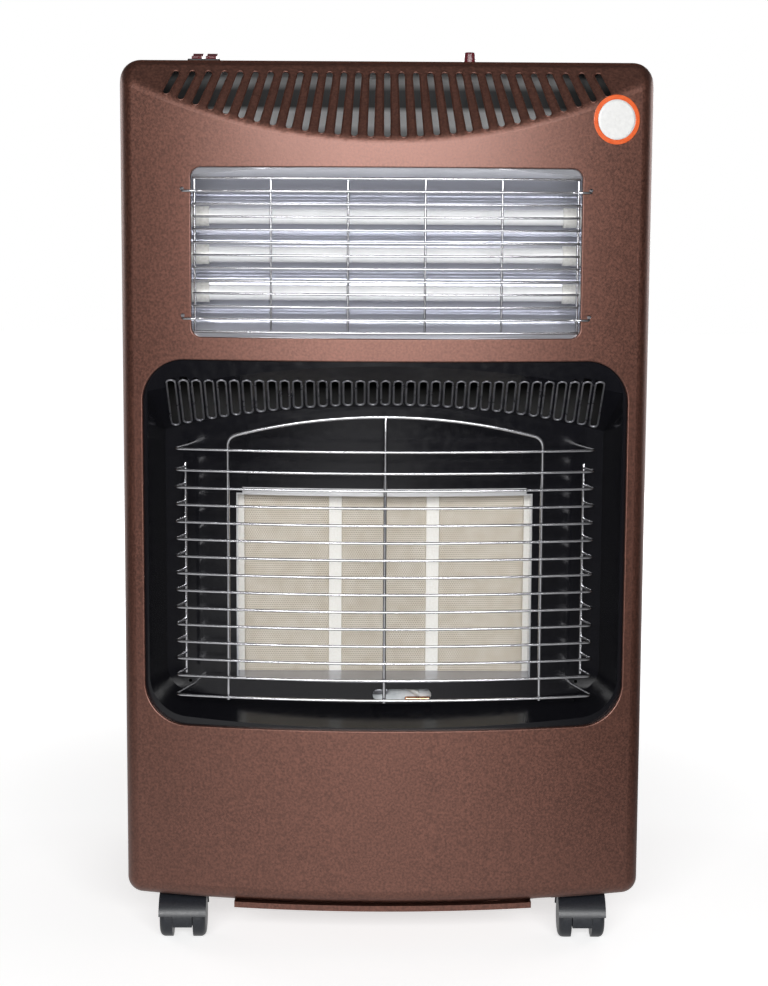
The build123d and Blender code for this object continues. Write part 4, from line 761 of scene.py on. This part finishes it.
def light_world(world):
    """White to the camera. In a mirror it is white straight behind the heater and faintly lit
    high in front of it, by the parts of the ray's unit direction. For the rest it gives a weak
    even light."""
    world.use_nodes = True
    tree = world.node_tree
    background = tree.nodes["Background"]
    seen, mirrored_ray = ray_kinds(tree)
    around = node(tree, "ShaderNodeTexCoord").outputs["Generated"]
    direction = node(tree, "ShaderNodeSeparateXYZ", [(around, "Vector")]).outputs
    rear = spread(tree, direction["Y"], REAR_FROM, REAR_TO)
    high = spread(tree, direction["Z"], HIGH_FROM, HIGH_TO)
    forward = spread(tree, direction["Y"], FRONT_FROM, FRONT_TO, 0.0, OVERHEAD_LEVEL)
    central = spread(tree, math_node(tree, "ABSOLUTE", direction["X"]),
                     CENTRAL_WITHIN, CENTRAL_FADE, 1.0, 0.0)
    overhead = math_node(tree, "MULTIPLY", math_node(tree, "MULTIPLY", high, forward), central)
    mirrored = math_node(tree, "MULTIPLY", mirrored_ray,
                         math_node(tree, "MAXIMUM", rear, overhead))
    level = math_node(tree, "MAXIMUM", WORLD_LEVEL, math_node(tree, "MAXIMUM", seen, mirrored))
    background.inputs["Color"].default_value = (1, 1, 1, 1)
    tree.links.new(level, background.inputs["Strength"])


def softbox(name, place, aim, size, power):
    """A rectangular area lamp at a place, facing the aim point."""
    lamp = bpy.data.lights.new(name, "AREA")
    lamp.shape = "RECTANGLE"
    lamp.size, lamp.size_y = size
    lamp.energy = power
    held = bpy.data.objects.new(name, lamp)
    held.location = place
    held.rotation_euler = (Vector(aim) - Vector(place)).to_track_quat("-Z", "Y").to_euler()
    bpy.context.scene.collection.objects.link(held)


bpy.ops.mesh.primitive_plane_add(size=FLOOR_SIZE)
floor = bpy.context.object
floor.name = "studio_floor"
floor.data.materials.append(studio_floor())

bpy.context.scene.world = bpy.data.worlds.new("studio")
light_world(bpy.context.scene.world)

softbox("front_softbox", place=(0.0, -2.55, 1.0), aim=(0, -0.1, 0.45), size=(1.95, 0.5), power=59)
softbox("rear_softbox", place=(0.6, 2.7, 0.9), aim=(0, 0, 0.4), size=(1.4, 1.0), power=18)
softbox("left_softbox", place=(-2.3, 1.6, 0.9), aim=(0, 0.1, 0.4), size=(1.2, 1.0), power=11)
softbox("right_softbox", place=(2.3, 1.6, 0.9), aim=(0, 0.1, 0.4), size=(1.2, 1.0), power=11)

IMAGE_WIDTH, IMAGE_HEIGHT = 768, 986
FOCAL_PIXELS = 2146.25
SENSOR = 36
CAMERA_PLACE = (-0.0186, -1.8898, 0.6073)
PITCH, YAW, ROLL = 0.1354, -0.0105, -0.0057
camera = bpy.data.cameras.new("camera")
camera.sensor_width = SENSOR
camera.lens = FOCAL_PIXELS * SENSOR / max(IMAGE_WIDTH, IMAGE_HEIGHT)
forward = Vector((-math.sin(YAW) * math.cos(PITCH), math.cos(YAW) * math.cos(PITCH),
                  -math.sin(PITCH)))
right = Vector((math.cos(YAW), math.sin(YAW), 0))
down = forward.cross(right)
turned_right = math.cos(ROLL) * right + math.sin(ROLL) * down
turned_down = -math.sin(ROLL) * right + math.cos(ROLL) * down
pose = Matrix((turned_right, -turned_down, -forward)).transposed().to_4x4()
pose.translation = CAMERA_PLACE
camera_object = bpy.data.objects.new("camera", camera)
camera_object.matrix_world = pose
bpy.context.scene.collection.objects.link(camera_object)
bpy.context.scene.camera = camera_object
bpy.context.scene.view_settings.view_transform = "Standard"
